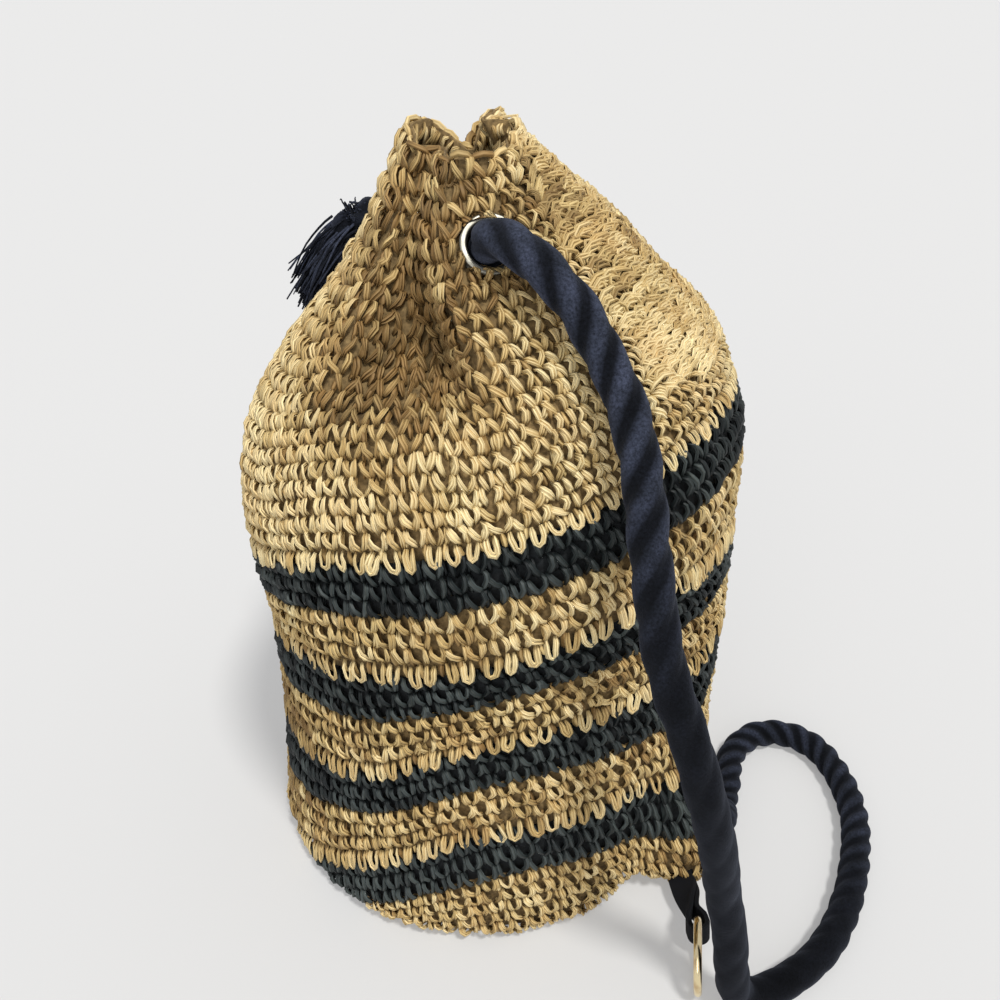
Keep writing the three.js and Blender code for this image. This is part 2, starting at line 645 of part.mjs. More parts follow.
// The strip of the tab: it folds round the wire, and its two plies meet and turn behind it.
function tabGeometry() {
  const radius = RING_DIAMETER / 2;
  const fold = Math.sqrt(radius ** 2 - (TAB_WIDTH / 2) ** 2) - radius; // the wire bends this far across the tab
  const wide = RING_WIRE / 2 + GAP * 3.5 + TAB_PLY / 2;
  const narrow = TAB_PLY / 2 + GAP / 2;
  const armSteps = 10;
  const foldSteps = 8;
  const stations = [];
  for (let i = 0; i <= armSteps; i += 1) {
    const run = TAB_LENGTH + (fold - TAB_LENGTH) * (i / armSteps);
    const spread = THREE.MathUtils.lerp(wide, narrow, THREE.MathUtils.smoothstep(run, 2, 10));
    stations.push({ run, off: -spread, outRun: 0, outOff: -1 });
  }
  for (let i = 1; i < foldSteps; i += 1) {
    const turn = (i / foldSteps - 0.5) * Math.PI;
    const outRun = -Math.cos(turn);
    const outOff = Math.sin(turn);
    stations.push({ run: fold + wide * outRun, off: wide * outOff, outRun, outOff });
  }
  const firstArm = stations.slice(0, armSteps + 1).reverse();
  stations.push(...firstArm.map(({ run, off }) => ({ run, off: -off, outRun: 0, outOff: 1 })));
  const wire = RING_PLACE.clone().addScaledVector(RING_TO_BAG, radius);
  const points = [];
  for (const { run, off, outRun, outOff } of stations) {
    const turn = radians(TAB_TWIST) * THREE.MathUtils.smoothstep(run, 5, TAB_LENGTH - 6);
    const across = RING_TOP.clone().applyAxisAngle(TAB_RUN, turn);
    const outward = TAB_RUN.clone().cross(RING_TOP).normalize().applyAxisAngle(TAB_RUN, turn);
    const middle = wire.clone().addScaledVector(TAB_RUN, run).addScaledVector(outward, off);
    for (const [w, t] of [[1, 1], [-1, 1], [-1, -1], [1, -1]]) {
      const corner = middle.clone().addScaledVector(across, (w * TAB_WIDTH) / 2);
      corner.addScaledVector(TAB_RUN, (t * outRun * TAB_PLY) / 2);
      points.push(corner.addScaledVector(outward, (t * outOff * TAB_PLY) / 2));
    }
  }
  const triangles = [0, 2, 1, 0, 3, 2];
  for (let i = 0; i < stations.length - 1; i += 1) {
    for (let k = 0; k < 4; k += 1) {
      const a = i * 4 + k;
      const b = i * 4 + ((k + 1) % 4);
      triangles.push(a, b, b + 4, a, b + 4, a + 4);
    }
  }
  const end = (stations.length - 1) * 4;
  triangles.push(end, end + 1, end + 2, end, end + 2, end + 3);
  const strip = meshGeometry(points, triangles);
  const lowerBag = [...rowRounds(BANDS[0]), ...rowRounds(BANDS[1]).slice(1), ...rowRounds(BANDS[2]).slice(1)];
  return geometryOf(solidOf(strip).subtract(solidOf(bandGeometry(lowerBag, 2 * GAP, true))));
}
addPiece("corner_tab", tabGeometry(), "webbing");

export default group;
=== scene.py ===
"""Looks of a crocheted straw bucket backpack. Sizes are in millimetres and turned to metres at the end."""

import math

import bpy
import numpy as np
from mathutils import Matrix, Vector


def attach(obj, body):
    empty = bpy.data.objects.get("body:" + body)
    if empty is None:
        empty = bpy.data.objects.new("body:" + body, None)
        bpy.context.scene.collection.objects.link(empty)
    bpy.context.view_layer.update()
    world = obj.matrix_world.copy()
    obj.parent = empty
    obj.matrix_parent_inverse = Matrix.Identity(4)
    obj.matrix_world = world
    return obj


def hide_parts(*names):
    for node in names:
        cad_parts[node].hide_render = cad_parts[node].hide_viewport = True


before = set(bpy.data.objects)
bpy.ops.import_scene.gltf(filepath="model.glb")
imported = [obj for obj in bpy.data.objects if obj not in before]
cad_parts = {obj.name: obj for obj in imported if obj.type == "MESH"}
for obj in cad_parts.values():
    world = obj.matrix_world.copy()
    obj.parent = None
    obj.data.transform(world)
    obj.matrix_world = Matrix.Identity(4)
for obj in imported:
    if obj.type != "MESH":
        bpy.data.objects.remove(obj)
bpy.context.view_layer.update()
scene = bpy.context.scene
scene.view_settings.view_transform = "Standard"
MM = 0.001
rng = np.random.RandomState(7)

# Camera, at the photo's viewing angle
camera_data = bpy.data.cameras.new("camera")
camera_data.sensor_width = 36.0
camera_data.lens = 34.67
camera = bpy.data.objects.new("camera", camera_data)
camera.location = (0.010, -0.410, 0.457)
camera.rotation_euler = (math.radians(57.3), 0.0, 0.0)
scene.collection.objects.link(camera)
scene.camera = camera

# Sizes, as in the CAD
BAG_HEIGHT = 372.0
BODY_RADIUS = 116.0
WALL = 2.8
BASE_EDGE = 9.0
CORNER_REACH = 28.0
CORNER_HEIGHT = 165.0
ARCH_LIFT = 10.0
DIMPLE_DEPTH = 37.0
FOLD_DEPTH = 9.0
ROPE_DIAMETER = 16.0
EYELET_BORE = 8.9
EYELET_BARREL = 10.0
EYELET_FLANGE = 12.0
FLANGE_FROM = 1.7
FLANGE_TO = 2.8
RING_RADIUS = 16.0
RING_WIRE = 4.0
TAB_WIDTH = 14.0
TAB_PLY = 2.5
TAB_LENGTH = 38.0
TAB_TWIST = 72.0
KNOT_DIAMETER = 31.0

# The wall's reach from the axis, as shares of BODY_RADIUS: height, left, right, front, back
SECTIONS = np.array([
    (0.0, 1.0, 1.04, 1.0, 0.98),
    (0.07, 0.96, 1.05, 1.0, 0.99),
    (0.2, 0.925, 1.065, 1.01, 1.0),
    (0.4, 0.91, 1.07, 1.01, 1.02),
    (0.56, 0.96, 1.05, 1.02, 1.03),
    (0.66, 0.905, 1.04, 1.0, 1.02),
    (0.72, 0.8, 0.985, 0.94, 0.97),
    (0.78, 0.65, 0.89, 0.84, 0.85),
    (0.84, 0.49, 0.69, 0.67, 0.68),
    (0.9, 0.37, 0.5, 0.47, 0.46),
    (0.95, 0.29, 0.3, 0.34, 0.31),
    (1.0, 0.21, 0.13, 0.25, 0.26),
])
# Folds of the neck: low, high, width, depth, from, full
FOLDS = (
    (-116, -132, 22, 1.2, 0.84, 0.94),
    (-52, -40, 20, 0.35, 0.84, 0.95),
    (48, 46, 30, 1.5, 0.85, 0.98),
    (114, 106, 28, 2.8, 0.84, 0.99),
    (176, 168, 22, -0.35, 0.84, 0.95),
    (78, 76, 18, -0.3, 0.86, 0.97),
)
DIMPLE = {"low": -110, "high": -128, "foot": 0.746, "deep": 0.794, "top": 0.93, "floor": 7, "edge": 24}
CORNER = {"azimuth": -35, "width": 15}
ARCH = {"azimuth": -47, "width": 15}
# Height of the mouth's edge: azimuth, share of BAG_HEIGHT
RIM = np.array([(-90, 0.984), (-20, 0.995), (76, 1.0), (106, 0.968), (140, 0.996), (172, 0.996), (210, 0.985)])
CENTRE_ROUND = -18
RIM_ROUND = 43
# The slanting rounds: azimuth, foot, fourth, third, second, first
ROUND_LINES = np.array([
    (-180, -0.13, -0.04, 0.177, 0.36, 0.478),
    (-150, -0.085, 0.0, 0.236, 0.414, 0.535),
    (-120, 0.02, 0.108, 0.28, 0.454, 0.608),
    (-90, 0.129, 0.215, 0.374, 0.495, 0.653),
    (-60, 0.136, 0.226, 0.398, 0.535, 0.691),
    (-30, 0.094, 0.21, 0.392, 0.538, 0.726),
    (0, 0.1, 0.2, 0.36, 0.511, 0.715),
    (30, 0.075, 0.165, 0.323, 0.478, 0.667),
    (60, 0.035, 0.118, 0.274, 0.43, 0.597),
    (90, -0.015, 0.07, 0.231, 0.387, 0.538),
    (120, -0.065, 0.02, 0.194, 0.35, 0.495),
    (150, -0.115, -0.03, 0.172, 0.339, 0.473),
])
LINE_ROUNDS = (0, 3, 10, 17, 24)
# Eyelets: azimuth, share of BAG_HEIGHT, facing, rise
EYELETS = {
    "grommet_front": (-83, 0.912, -80, 36),
    "grommet_back": (134, 0.825, 134, 24),
    "grommet_base": (-31.5, 0.095, 6, 6),
}

# Routes of the rope, in metres, as in the CAD
STRAP_ROUTE = [
    (0.0115, -0.0615, 0.3465),
    (0.017, -0.068, 0.3455),
    (0.024, -0.0735, 0.3415),
    (0.0315, -0.078, 0.335),
    (0.039, -0.0815, 0.3265),
    (0.0445, -0.0855, 0.318),
    (0.0495, -0.091, 0.3095),
    (0.054, -0.097, 0.302),
    (0.060, -0.112, 0.283),
    (0.064, -0.131, 0.253),
    (0.070, -0.147, 0.218),
    (0.082, -0.158, 0.184),
    (0.092, -0.161, 0.151),
    (0.100, -0.157, 0.120),
    (0.106, -0.152, 0.091),
    (0.113, -0.152, 0.060),
    (0.117, -0.153, 0.034),
    (0.1225, -0.152, 0.015),
    (0.134, -0.149, 0.0083),
    (0.154, -0.140, 0.0083),
    (0.172, -0.126, 0.0083),
    (0.190, -0.102, 0.0083),
    (0.205, -0.070, 0.0083),
    (0.212, -0.044, 0.0083),
    (0.2115, -0.015, 0.0083),
    (0.2035, 0.007, 0.0083),
    (0.188, 0.018, 0.0083),
    (0.169, 0.017, 0.0083),
    (0.152, 0.002, 0.0083),
    (0.145, -0.019, 0.0083),
    (0.140, -0.034, 0.0086),
    (0.137, -0.043, 0.0115),
    (0.134, -0.051, 0.0185),
    (0.132, -0.0595, 0.027),
    (0.129, -0.0665, 0.0335),
]
MOUTH_ROUTE = [
    (0.001, -0.027, 0.324),
    (-0.007, -0.009, 0.315),
    (-0.019, 0.007, 0.306),
]
BASE_KNOT_ROUTE = [
    (0.105, -0.0715, 0.0363),
    (0.095, -0.067, 0.035),
    (0.084, -0.0585, 0.0335),
]


# Small helpers
def unit(v):
    """Directions of length one."""
    v = np.asarray(v, float)
    return v / np.maximum(np.linalg.norm(v, axis=-1, keepdims=True), 1e-9)


def smoothstep(x, low, high):
    """A soft step from 0 at low to 1 at high."""
    t = np.clip((x - low) / (high - low), 0, 1)
    return t * t * (3 - 2 * t)


def bump_at(offset, half_width):
    """A soft bump: 1 at no offset and 0 from the half width on."""
    t = np.abs(offset) / half_width
    return np.where(t >= 1, 0.0, np.cos(np.minimum(t, 1) * math.pi / 2) ** 2)


def turn_between(a, b):
    """The turn in degrees from b to a, from -180 to 180."""
    return (a - b + 540) % 360 - 180


def read_table(keys, values, x, period=0):
    """A smooth curve through a table's rows, read at x."""
    x = np.asarray(x, float)
    if period:
        x = keys[0] + (x - keys[0]) % period
        values = np.concatenate([values[-1:], values, values[:2]])
        keys = np.concatenate([keys[-1:] - period, keys, keys[:2] + period])
    last = len(keys) - 1
    i = np.clip(np.searchsorted(keys, x, side="left") - 1, 0, last - 1)
    before, after = np.maximum(i - 1, 0), np.minimum(i + 2, last)
    span = keys[i + 1] - keys[i]
    s = np.clip((x - keys[i]) / span, 0, 1)
    start = (values[i + 1] - values[before]) / (keys[i + 1] - keys[before]) * span
    end = (values[after] - values[i]) / (keys[after] - keys[i]) * span
    s2, s3 = s * s, s * s * s
    return (
        (2 * s3 - 3 * s2 + 1) * values[i]
        + (s3 - 2 * s2 + s) * start
        + (3 * s2 - 2 * s3) * values[i + 1]
        + (s3 - s2) * end
    )


def wall_radius(azimuth, height):
    """How far the wall stands off the axis, with its folds, its dimple and its pulled-out corner."""
    share = height / BAG_HEIGHT
    left, right, front, back = (
        read_table(SECTIONS[:, 0], SECTIONS[:, k], share) * BODY_RADIUS for k in (1, 2, 3, 4)
    )
    c, s = np.cos(np.radians(azimuth)), np.sin(np.radians(azimuth))
    radius = 1 / np.hypot(c / np.where(c > 0, right, left), s / np.where(s > 0, back, front))
    for low, high, width, depth, start, full in FOLDS:
        rise = smoothstep(share, start, full)
        radius = radius - FOLD_DEPTH * depth * rise * bump_at(turn_between(azimuth, low + (high - low) * rise), width)
    fade = smoothstep(share, DIMPLE["deep"], DIMPLE["top"])
    up = smoothstep(share, DIMPLE["foot"], DIMPLE["deep"]) * (1 - fade)
    off_middle = np.abs(turn_between(azimuth, DIMPLE["low"] + (DIMPLE["high"] - DIMPLE["low"]) * fade))
    radius = radius - DIMPLE_DEPTH * up * (1 - smoothstep(off_middle, DIMPLE["floor"], DIMPLE["edge"]))
    pull = np.clip(1 - height / CORNER_HEIGHT, 0, 1) ** 1.4
    return radius + CORNER_REACH * pull * bump_at(turn_between(azimuth, CORNER["azimuth"]), CORNER["width"])


# The wall's middle surface on a fine grid: azimuths, and steps to a round
COLUMNS = 720
SUB = 8
# Rows of the table that the grid is read from: over the base's rounded edge, and above it
EDGE_ROWS = 7
WALL_ROWS = 60
FOOT_ROW = EDGE_ROWS + 1
azimuths = np.arange(COLUMNS) * 360.0 / COLUMNS
rounds = np.linspace(CENTRE_ROUND, RIM_ROUND, (RIM_ROUND - CENTRE_ROUND) * SUB + 1)


def wall_grid():
    """Points of the wall's middle surface, by round and by azimuth."""
    corner = bump_at(turn_between(azimuths, CORNER["azimuth"]), CORNER["width"])
    arch = bump_at(turn_between(azimuths, ARCH["azimuth"]), ARCH["width"])
    lift = ARCH_LIFT * arch
    rim = read_table(RIM[:, 0], RIM[:, 1], azimuths, 360) * BAG_HEIGHT
    flat = wall_radius(azimuths, np.zeros(COLUMNS)) - BASE_EDGE - CORNER_REACH * np.maximum(corner, arch) - WALL
    reach, height = [np.zeros(COLUMNS), flat], [np.zeros(COLUMNS), np.zeros(COLUMNS)]
    for i in range(EDGE_ROWS):
        turn = i / (EDGE_ROWS - 1) * math.pi / 2
        h = lift + BASE_EDGE * (1 - math.cos(turn))
        height.append(h)
        reach.append(wall_radius(azimuths, h) - BASE_EDGE * (1 - math.sin(turn)))
    foot = lift + BASE_EDGE
    for i in range(1, WALL_ROWS + 1):
        h = foot + (rim - foot) * i / WALL_ROWS
        height.append(h)
        reach.append(wall_radius(azimuths, h))
    reach, height = np.array(reach), np.array(height)
    run = np.zeros_like(reach)
    run[1:] = np.cumsum(np.hypot(np.diff(reach, axis=0), np.diff(height, axis=0)), axis=0)
    run += foot - run[FOOT_ROW]
    lines = [run[0]]
    for k in range(1, 6):
        lines.append(read_table(ROUND_LINES[:, 0], ROUND_LINES[:, k], azimuths, 360) * BAG_HEIGHT)
    lines.append(run[-1])
    lines = np.array(lines)
    marks = np.array([CENTRE_ROUND, *LINE_ROUNDS, RIM_ROUND], float)
    points = np.zeros((len(rounds), COLUMNS, 3))
    for c in range(COLUMNS):
        along = np.interp(rounds, marks, lines[:, c])
        r = np.interp(along, run[:, c], reach[:, c])
        a = math.radians(azimuths[c])
        points[:, c, 0] = math.cos(a) * r
        points[:, c, 1] = math.sin(a) * r
        points[:, c, 2] = np.interp(along, run[:, c], height[:, c]) + WALL / 2
    return points


def eyelet_seat(azimuth, share, facing, rise):
    """Where an eyelet sits, and the direction that it faces."""
    height = share * BAG_HEIGHT
    reach = float(wall_radius(np.array([float(azimuth)]), np.array([height]))[0])
    a, f, e = math.radians(azimuth), math.radians(facing), math.radians(rise)
    place = np.array([math.cos(a) * reach, math.sin(a) * reach, height + WALL / 2])
    normal = np.array([math.cos(f) * math.cos(e), math.sin(f) * math.cos(e), math.sin(e)])
    return place, normal


seats = {name: eyelet_seat(*row) for name, row in EYELETS.items()}


def off_eyelet(points, place, normal):
    """How far points stand proud of an eyelet's plane, their way off its axis, and that way's length."""
    off = points - place
    proud = off @ normal
    flat = off - proud[..., None] * normal
    return proud, flat, np.linalg.norm(flat, axis=-1)


def press_flat(points):
    """The wall, pressed flat round each eyelet."""
    patch = EYELET_FLANGE + 2
    for place, normal in seats.values():
        proud, _, away = off_eyelet(points, place, normal)
        hold = (1 - smoothstep(away, patch, patch * 1.9)) * (np.abs(proud) <= patch)
        points = points - (proud * hold)[..., None] * normal
    return points


surface = press_flat(wall_grid())
around = np.roll(surface, -1, 1) - np.roll(surface, 1, 1)
upwards = np.gradient(surface, axis=0)
facing = unit(np.cross(around, upwards))
facing[:3] = (0, 0, -1)
# Crochet on the underside stands less proud, so that it rests on the floor.
UNDERSIDE_TUCK = 1.9
tuck = UNDERSIDE_TUCK * np.clip(-facing[..., 2], 0, 1)
# The way walked along each round, from azimuth 0
walk = np.zeros((len(rounds), COLUMNS + 1))
walk[:, 1:] = np.cumsum(np.linalg.norm(np.roll(surface, -1, 1) - surface, axis=2), axis=1)
# A round's height, where stitches stand over the rim
ROUND_HEIGHT = 8.0


def on_wall(column, round_, proud):
    """Points at a column, a round and a distance off the wall's middle, with the wall's direction there."""
    row = np.clip((round_ - CENTRE_ROUND) * SUB, 0, len(rounds) - 1.001)
    i, t = row.astype(int), (row % 1)[..., None]
    col = column % COLUMNS
    j, s = col.astype(int) % COLUMNS, (col % 1)[..., None]
    k = (j + 1) % COLUMNS

    def mix(grid):
        g = grid[..., None] if grid.ndim == 2 else grid
        return (g[i, j] * (1 - s) + g[i, k] * s) * (1 - t) + (g[i + 1, j] * (1 - s) + g[i + 1, k] * s) * t

    normal = unit(mix(facing))
    over = np.maximum(round_ - RIM_ROUND, 0)[..., None] * ROUND_HEIGHT * np.array([0, 0, 1.0])
    return mix(surface) + normal * (np.asarray(proud)[..., None] - mix(tuck)) + over, normal


# Meshes
def make_mesh(name, points, quads, uv=None, tone=None, material=None):
    """A smooth mesh of quads, with its texture map, its tones by point and its material."""
    mesh = bpy.data.meshes.new(name)
    points = np.asarray(points, float).reshape(-1, 3)
    quads = np.asarray(quads, np.int32).reshape(-1, 4)
    mesh.vertices.add(len(points))
    mesh.vertices.foreach_set("co", (points * MM).astype(np.float32).ravel())
    mesh.loops.add(len(quads) * 4)
    mesh.loops.foreach_set("vertex_index", quads.ravel())
    mesh.polygons.add(len(quads))
    mesh.polygons.foreach_set("loop_start", np.arange(len(quads), dtype=np.int32) * 4)
    mesh.polygons.foreach_set("use_smooth", np.ones(len(quads), bool))
    mesh.update(calc_edges=True)
    if uv is not None:
        layer = mesh.uv_layers.new(name="UVMap")
        corners = np.asarray(uv, np.float32)[quads]
        seam = corners[:, 1, 0] < corners[:, 0, 0] - 0.3
        corners[seam, 1:3, 0] += 1
        layer.data.foreach_set("uv", corners.ravel())
    if tone is not None:
        attribute = mesh.attributes.new("tone", "FLOAT", "POINT")
        attribute.data.foreach_set("value", np.asarray(tone, np.float32).ravel())
    mesh.materials.append(material)
    mesh.validate()
    made = bpy.data.objects.new(name, mesh)
    scene.collection.objects.link(made)
    return made


def tube_quads(rings, sides, count=1, close=False):
    """Quads of count tubes of rings by sides points each, closed to a loop or with a strip over each end."""
    ring = np.arange(rings if close else rings - 1)
    side = np.arange(sides)
    a = ring[:, None] * sides + side
    b = ring[:, None] * sides + (side + 1) % sides
    above_a, above_b = a + sides, b + sides
    if close:
        above_a, above_b = above_a % (rings * sides), above_b % (rings * sides)
    quads = np.stack([a, b, above_b, above_a], -1).reshape(-1, 4)
    if not close and sides % 2 == 0:
        caps = []
        for base, flip in ((0, True), ((rings - 1) * sides, False)):
            for k in range(sides // 2 - 1):
                q = [base + k, base + k + 1, base + sides - k - 2, base + sides - k - 1]
                caps.append(q[::-1] if flip else q)
        quads = np.concatenate([quads, np.array(caps)])
    shift = (np.arange(count) * rings * sides)[:, None, None]
    return (quads[None] + shift).reshape(-1, 4)


def smooth_path(points, step):
    """A smooth curve through points, evenly spaced, with the way run at each of its points."""
    p = np.asarray(points, float)
    p = np.concatenate([[2 * p[0] - p[1]], p, [2 * p[-1] - p[-2]]])
    out = []
    for k in range(1, len(p) - 2):
        a, b, c, d = p[k - 1:k + 3]
        t0, t1 = 0.0, np.linalg.norm(b - a) ** 0.5
        t2 = t1 + np.linalg.norm(c - b) ** 0.5
        t3 = t2 + np.linalg.norm(d - c) ** 0.5
        t = np.linspace(t1, t2, 24, endpoint=k == len(p) - 3)[:, None]
        a1 = (t1 - t) / (t1 - t0) * a + (t - t0) / (t1 - t0) * b
        a2 = (t2 - t) / (t2 - t1) * b + (t - t1) / (t2 - t1) * c
        a3 = (t3 - t) / (t3 - t2) * c + (t - t2) / (t3 - t2) * d
        b1 = (t2 - t) / (t2 - t0) * a1 + (t - t0) / (t2 - t0) * a2
        b2 = (t3 - t) / (t3 - t1) * a2 + (t - t1) / (t3 - t1) * a3
        out.append((t2 - t) / (t2 - t1) * b1 + (t - t1) / (t2 - t1) * b2)
    q = np.concatenate(out)
    run = np.concatenate([[0], np.cumsum(np.linalg.norm(np.diff(q, axis=0), axis=1))])
    s = np.linspace(0, run[-1], max(3, int(round(run[-1] / step)) + 1))
    return np.stack([np.interp(s, run, q[:, k]) for k in range(3)], 1), s


def frames(path):
    """Two directions across a path that turn as little as they can along it."""
    t = unit(np.gradient(path, axis=0))
    n = np.zeros_like(t)
    start = np.array([0, 0, 1.0]) if abs(t[0, 2]) < 0.8 else np.array([1.0, 0, 0])
    n[0] = unit(start - t[0] * (start @ t[0]))
    for k in range(1, len(t)):
        n[k] = unit(n[k - 1] - t[k] * (n[k - 1] @ t[k]))
    return n, np.cross(t, n)


def ring_points(path, r, n, b, theta):
    """Points round a path, at the distances r and the angles theta."""
    out = np.cos(theta)[None, :, None] * n[:, None] + np.sin(theta)[None, :, None] * b[:, None]
    return path[:, None] + r[..., None] * out


# The rope: its turn and the lowest that it comes, in millimetres, and how dark the painted shade in its grooves is
ROPE_LAY = 32.0
ROPE_LOWEST = 0.05
GROOVE_SHADE = 1.35
# Shares of its radius: a strand's radius, where the ridges begin, and how high they rise; the painted shade in the
# grooves fades out over the ridges
STRAND_SHARE = 0.575
RIDGE_FROM = 0.80
RIDGE_RISE = 0.20


def rope_mesh(
    name, points, radius=ROPE_DIAMETER / 2, lay=(ROPE_LAY, ROPE_LAY), sides=40, step=1.4,
    groove=(0.36, 0.36), painted_light=(0.5, 0.5),
):
    """A rope along a path: its section is three round strands that turn along it.

    The values of lay, groove (how deep the grooves are cut) and of the painted light and shade stand at even steps
    along the path.
    """
    path, s = smooth_path(points, step)
    n, b = frames(path)

    def along(values):
        return np.interp(s / s[-1], np.linspace(0, 1, len(values)), values)

    theta = np.arange(sides) * 2 * math.pi / sides
    phase = 2 * math.pi * (np.cumsum(1 / along(lay)) * s[-1] / len(s))[:, None]
    strand = STRAND_SHARE * radius
    off = radius - strand
    best = np.zeros((len(s), sides))
    for k in range(3):
        d = theta[None] - phase - k * 2 * math.pi / 3
        inside = strand**2 - (off * np.sin(d)) ** 2
        reach = np.where(inside > 0, off * np.cos(d) + np.sqrt(np.maximum(inside, 0)), 0)
        best = np.maximum(best, reach)
    cut = along(groove)[:, None]
    run = s[:, None]
    # Slight unevenness, in millimetres
    wobble = 0.12 * np.sin(run * 0.21 + 1.7 * np.sin(run * 0.037)) + 0.1 * np.sin(3 * theta[None] + run * 0.4)
    r = radius * (1 - cut) + best * cut + wobble * 0.8
    ring = ring_points(path, r, n, b, theta)
    ring[..., 2] = np.maximum(ring[..., 2], ROPE_LOWEST)
    ridge = np.clip((best - RIDGE_FROM * radius) / (RIDGE_RISE * radius), 0, 1)
    # Painted shade in the grooves between the strands, times the painted light and shade read along the rope
    tone = (1 - GROOVE_SHADE * cut * (1 - ridge)) * along(painted_light)[:, None]
    around_rope = np.broadcast_to(theta[None] / (2 * math.pi), r.shape) * 50
    uv = np.stack([around_rope, np.broadcast_to(run, r.shape)], -1)
    made = make_mesh(name, ring, tube_quads(len(s), sides), uv.reshape(-1, 2), tone, cotton)
    return made, path


# Materials
def new_material(name):
    """A node material, with its tree and its shader."""
    material = bpy.data.materials.new(name)
    material.use_nodes = True
    tree = material.node_tree
    shader = tree.nodes["Principled BSDF"]
    return material, tree, shader


def node(tree, kind, **values):
    """A node whose sockets or settings get the values given."""
    made = tree.nodes.new(kind)
    for key, value in values.items():
        if key in made.inputs.keys():
            made.inputs[key].default_value = value
        else:
            setattr(made, key, value)
    return made


def ramped(tree, socket, *stops):
    """A socket's values, turned to colours by a ramp through the stops."""
    made = tree.nodes.new("ShaderNodeValToRGB")
    elements = made.color_ramp.elements
    while len(elements) < len(stops):
        elements.new(0.5)
    for element, (position, colour) in zip(elements, stops):
        element.position = position
        element.color = (*colour, 1)
    tree.links.new(socket, made.inputs[0])
    return made.outputs[0]


def noise(tree, **values):
    """Noise over the piece."""
    made = node(tree, "ShaderNodeTexNoise", **values)
    tree.links.new(node(tree, "ShaderNodeTexCoord").outputs["Object"], made.inputs["Vector"])
    return made.outputs[0]


def emboss(tree, shader, height, strength, distance):
    """Fine relief from a socket's values."""
    made = node(tree, "ShaderNodeBump", Strength=strength, Distance=distance)
    tree.links.new(height, made.inputs["Height"])
    tree.links.new(made.outputs[0], shader.inputs["Normal"])


def mixed(tree, kind, factor, a, b):
    """The mix of two colours, each a value or a socket."""
    made = node(tree, "ShaderNodeMix", data_type="RGBA", blend_type=kind)
    link = tree.links.new
    if isinstance(factor, float):
        made.inputs[0].default_value = factor
    else:
        link(factor, made.inputs[0])
    for socket, value in ((made.inputs[6], a), (made.inputs[7], b)):
        if isinstance(value, tuple):
            socket.default_value = (*value, 1)
        else:
            link(value, socket)
    return made.outputs[2]


def straw_material(name, dark, mid, light, stain, roughness):
    """Twisted paper straw: tone by strand, which carries painted light and shade, fibres along it, stains over the
    bag.
    """
    material, tree, shader = new_material(name)
    link = tree.links.new
    tone = node(tree, "ShaderNodeAttribute", attribute_name="tone").outputs["Fac"]
    colour = ramped(tree, tone, (0.0, dark), (0.5, mid), (1.0, light))
    blotch = ramped(tree, noise(tree, Scale=55.0, Detail=3.0), (0.35, (0, 0, 0)), (0.72, (1, 1, 1)))
    share = mixed(tree, "MIX", 0.35, colour, mixed(tree, "MIX", blotch, colour, stain))
    stretch = node(tree, "ShaderNodeMapping")
    stretch.inputs["Scale"].default_value = (1.0, 0.035, 1.0)
    link(node(tree, "ShaderNodeUVMap", uv_map="UVMap").outputs[0], stretch.inputs[0])
    lines = node(tree, "ShaderNodeTexWave", Scale=1.57, Distortion=3.5, Detail=2.0)
    link(stretch.outputs[0], lines.inputs["Vector"])
    fibres = ramped(tree, lines.outputs[0], (0.05, (0.66, 0.6, 0.5)), (0.5, (1.05, 1.04, 1.02)))
    link(mixed(tree, "MULTIPLY", 0.8, share, fibres), shader.inputs["Base Color"])
    shader.inputs["Roughness"].default_value = roughness
    shader.inputs["Specular IOR Level"].default_value = 0.35
    emboss(tree, shader, lines.outputs[0], 0.55, 0.0004)
    return material


def painted_shade_sheet_material(name, low, high):
    """The inside of the crochet, seen between the stitches: straw darkened with painted shade."""
    material, tree, shader = new_material(name)
    grain = noise(tree, Scale=420.0, Detail=4.0)
    tree.links.new(ramped(tree, grain, (0.3, low), (0.7, high)), shader.inputs["Base Color"])
    shader.inputs["Roughness"].default_value = 0.95
    emboss(tree, shader, grain, 0.8, 0.0008)
    return material


def rope_material(name):
    """Soft brushed cotton: painted shade in the grooves, from its tones, with a mottled bluish nap."""
    material, tree, shader = new_material(name)
    tone = node(tree, "ShaderNodeAttribute", attribute_name="tone").outputs["Fac"]
    base = ramped(
        tree, tone, (0.0, (0.0012, 0.0014, 0.002)), (0.35, (0.0035, 0.0042, 0.006)), (1.0, (0.026, 0.031, 0.046))
    )
    nap = noise(tree, Scale=900.0, Detail=5.0, Roughness=0.7)
    patch = noise(tree, Scale=70.0, Detail=3.0)
    for pattern in (
        ramped(tree, nap, (0.35, (0.5, 0.5, 0.5)), (0.68, (1.8, 1.8, 1.85))),
        ramped(tree, patch, (0.3, (0.6, 0.6, 0.58)), (0.7, (1.5, 1.48, 1.55))),
    ):
        base = mixed(tree, "MULTIPLY", 1.0, base, pattern)
    tree.links.new(base, shader.inputs["Base Color"])
    shader.inputs["Roughness"].default_value = 1.0
    shader.inputs["Specular IOR Level"].default_value = 0.1
    shader.inputs["Sheen Weight"].default_value = 0.2
    shader.inputs["Sheen Roughness"].default_value = 0.5
    shader.inputs["Sheen Tint"].default_value = (0.26, 0.29, 0.38, 1)
    emboss(tree, shader, nap, 0.5, 0.0006)
    return material


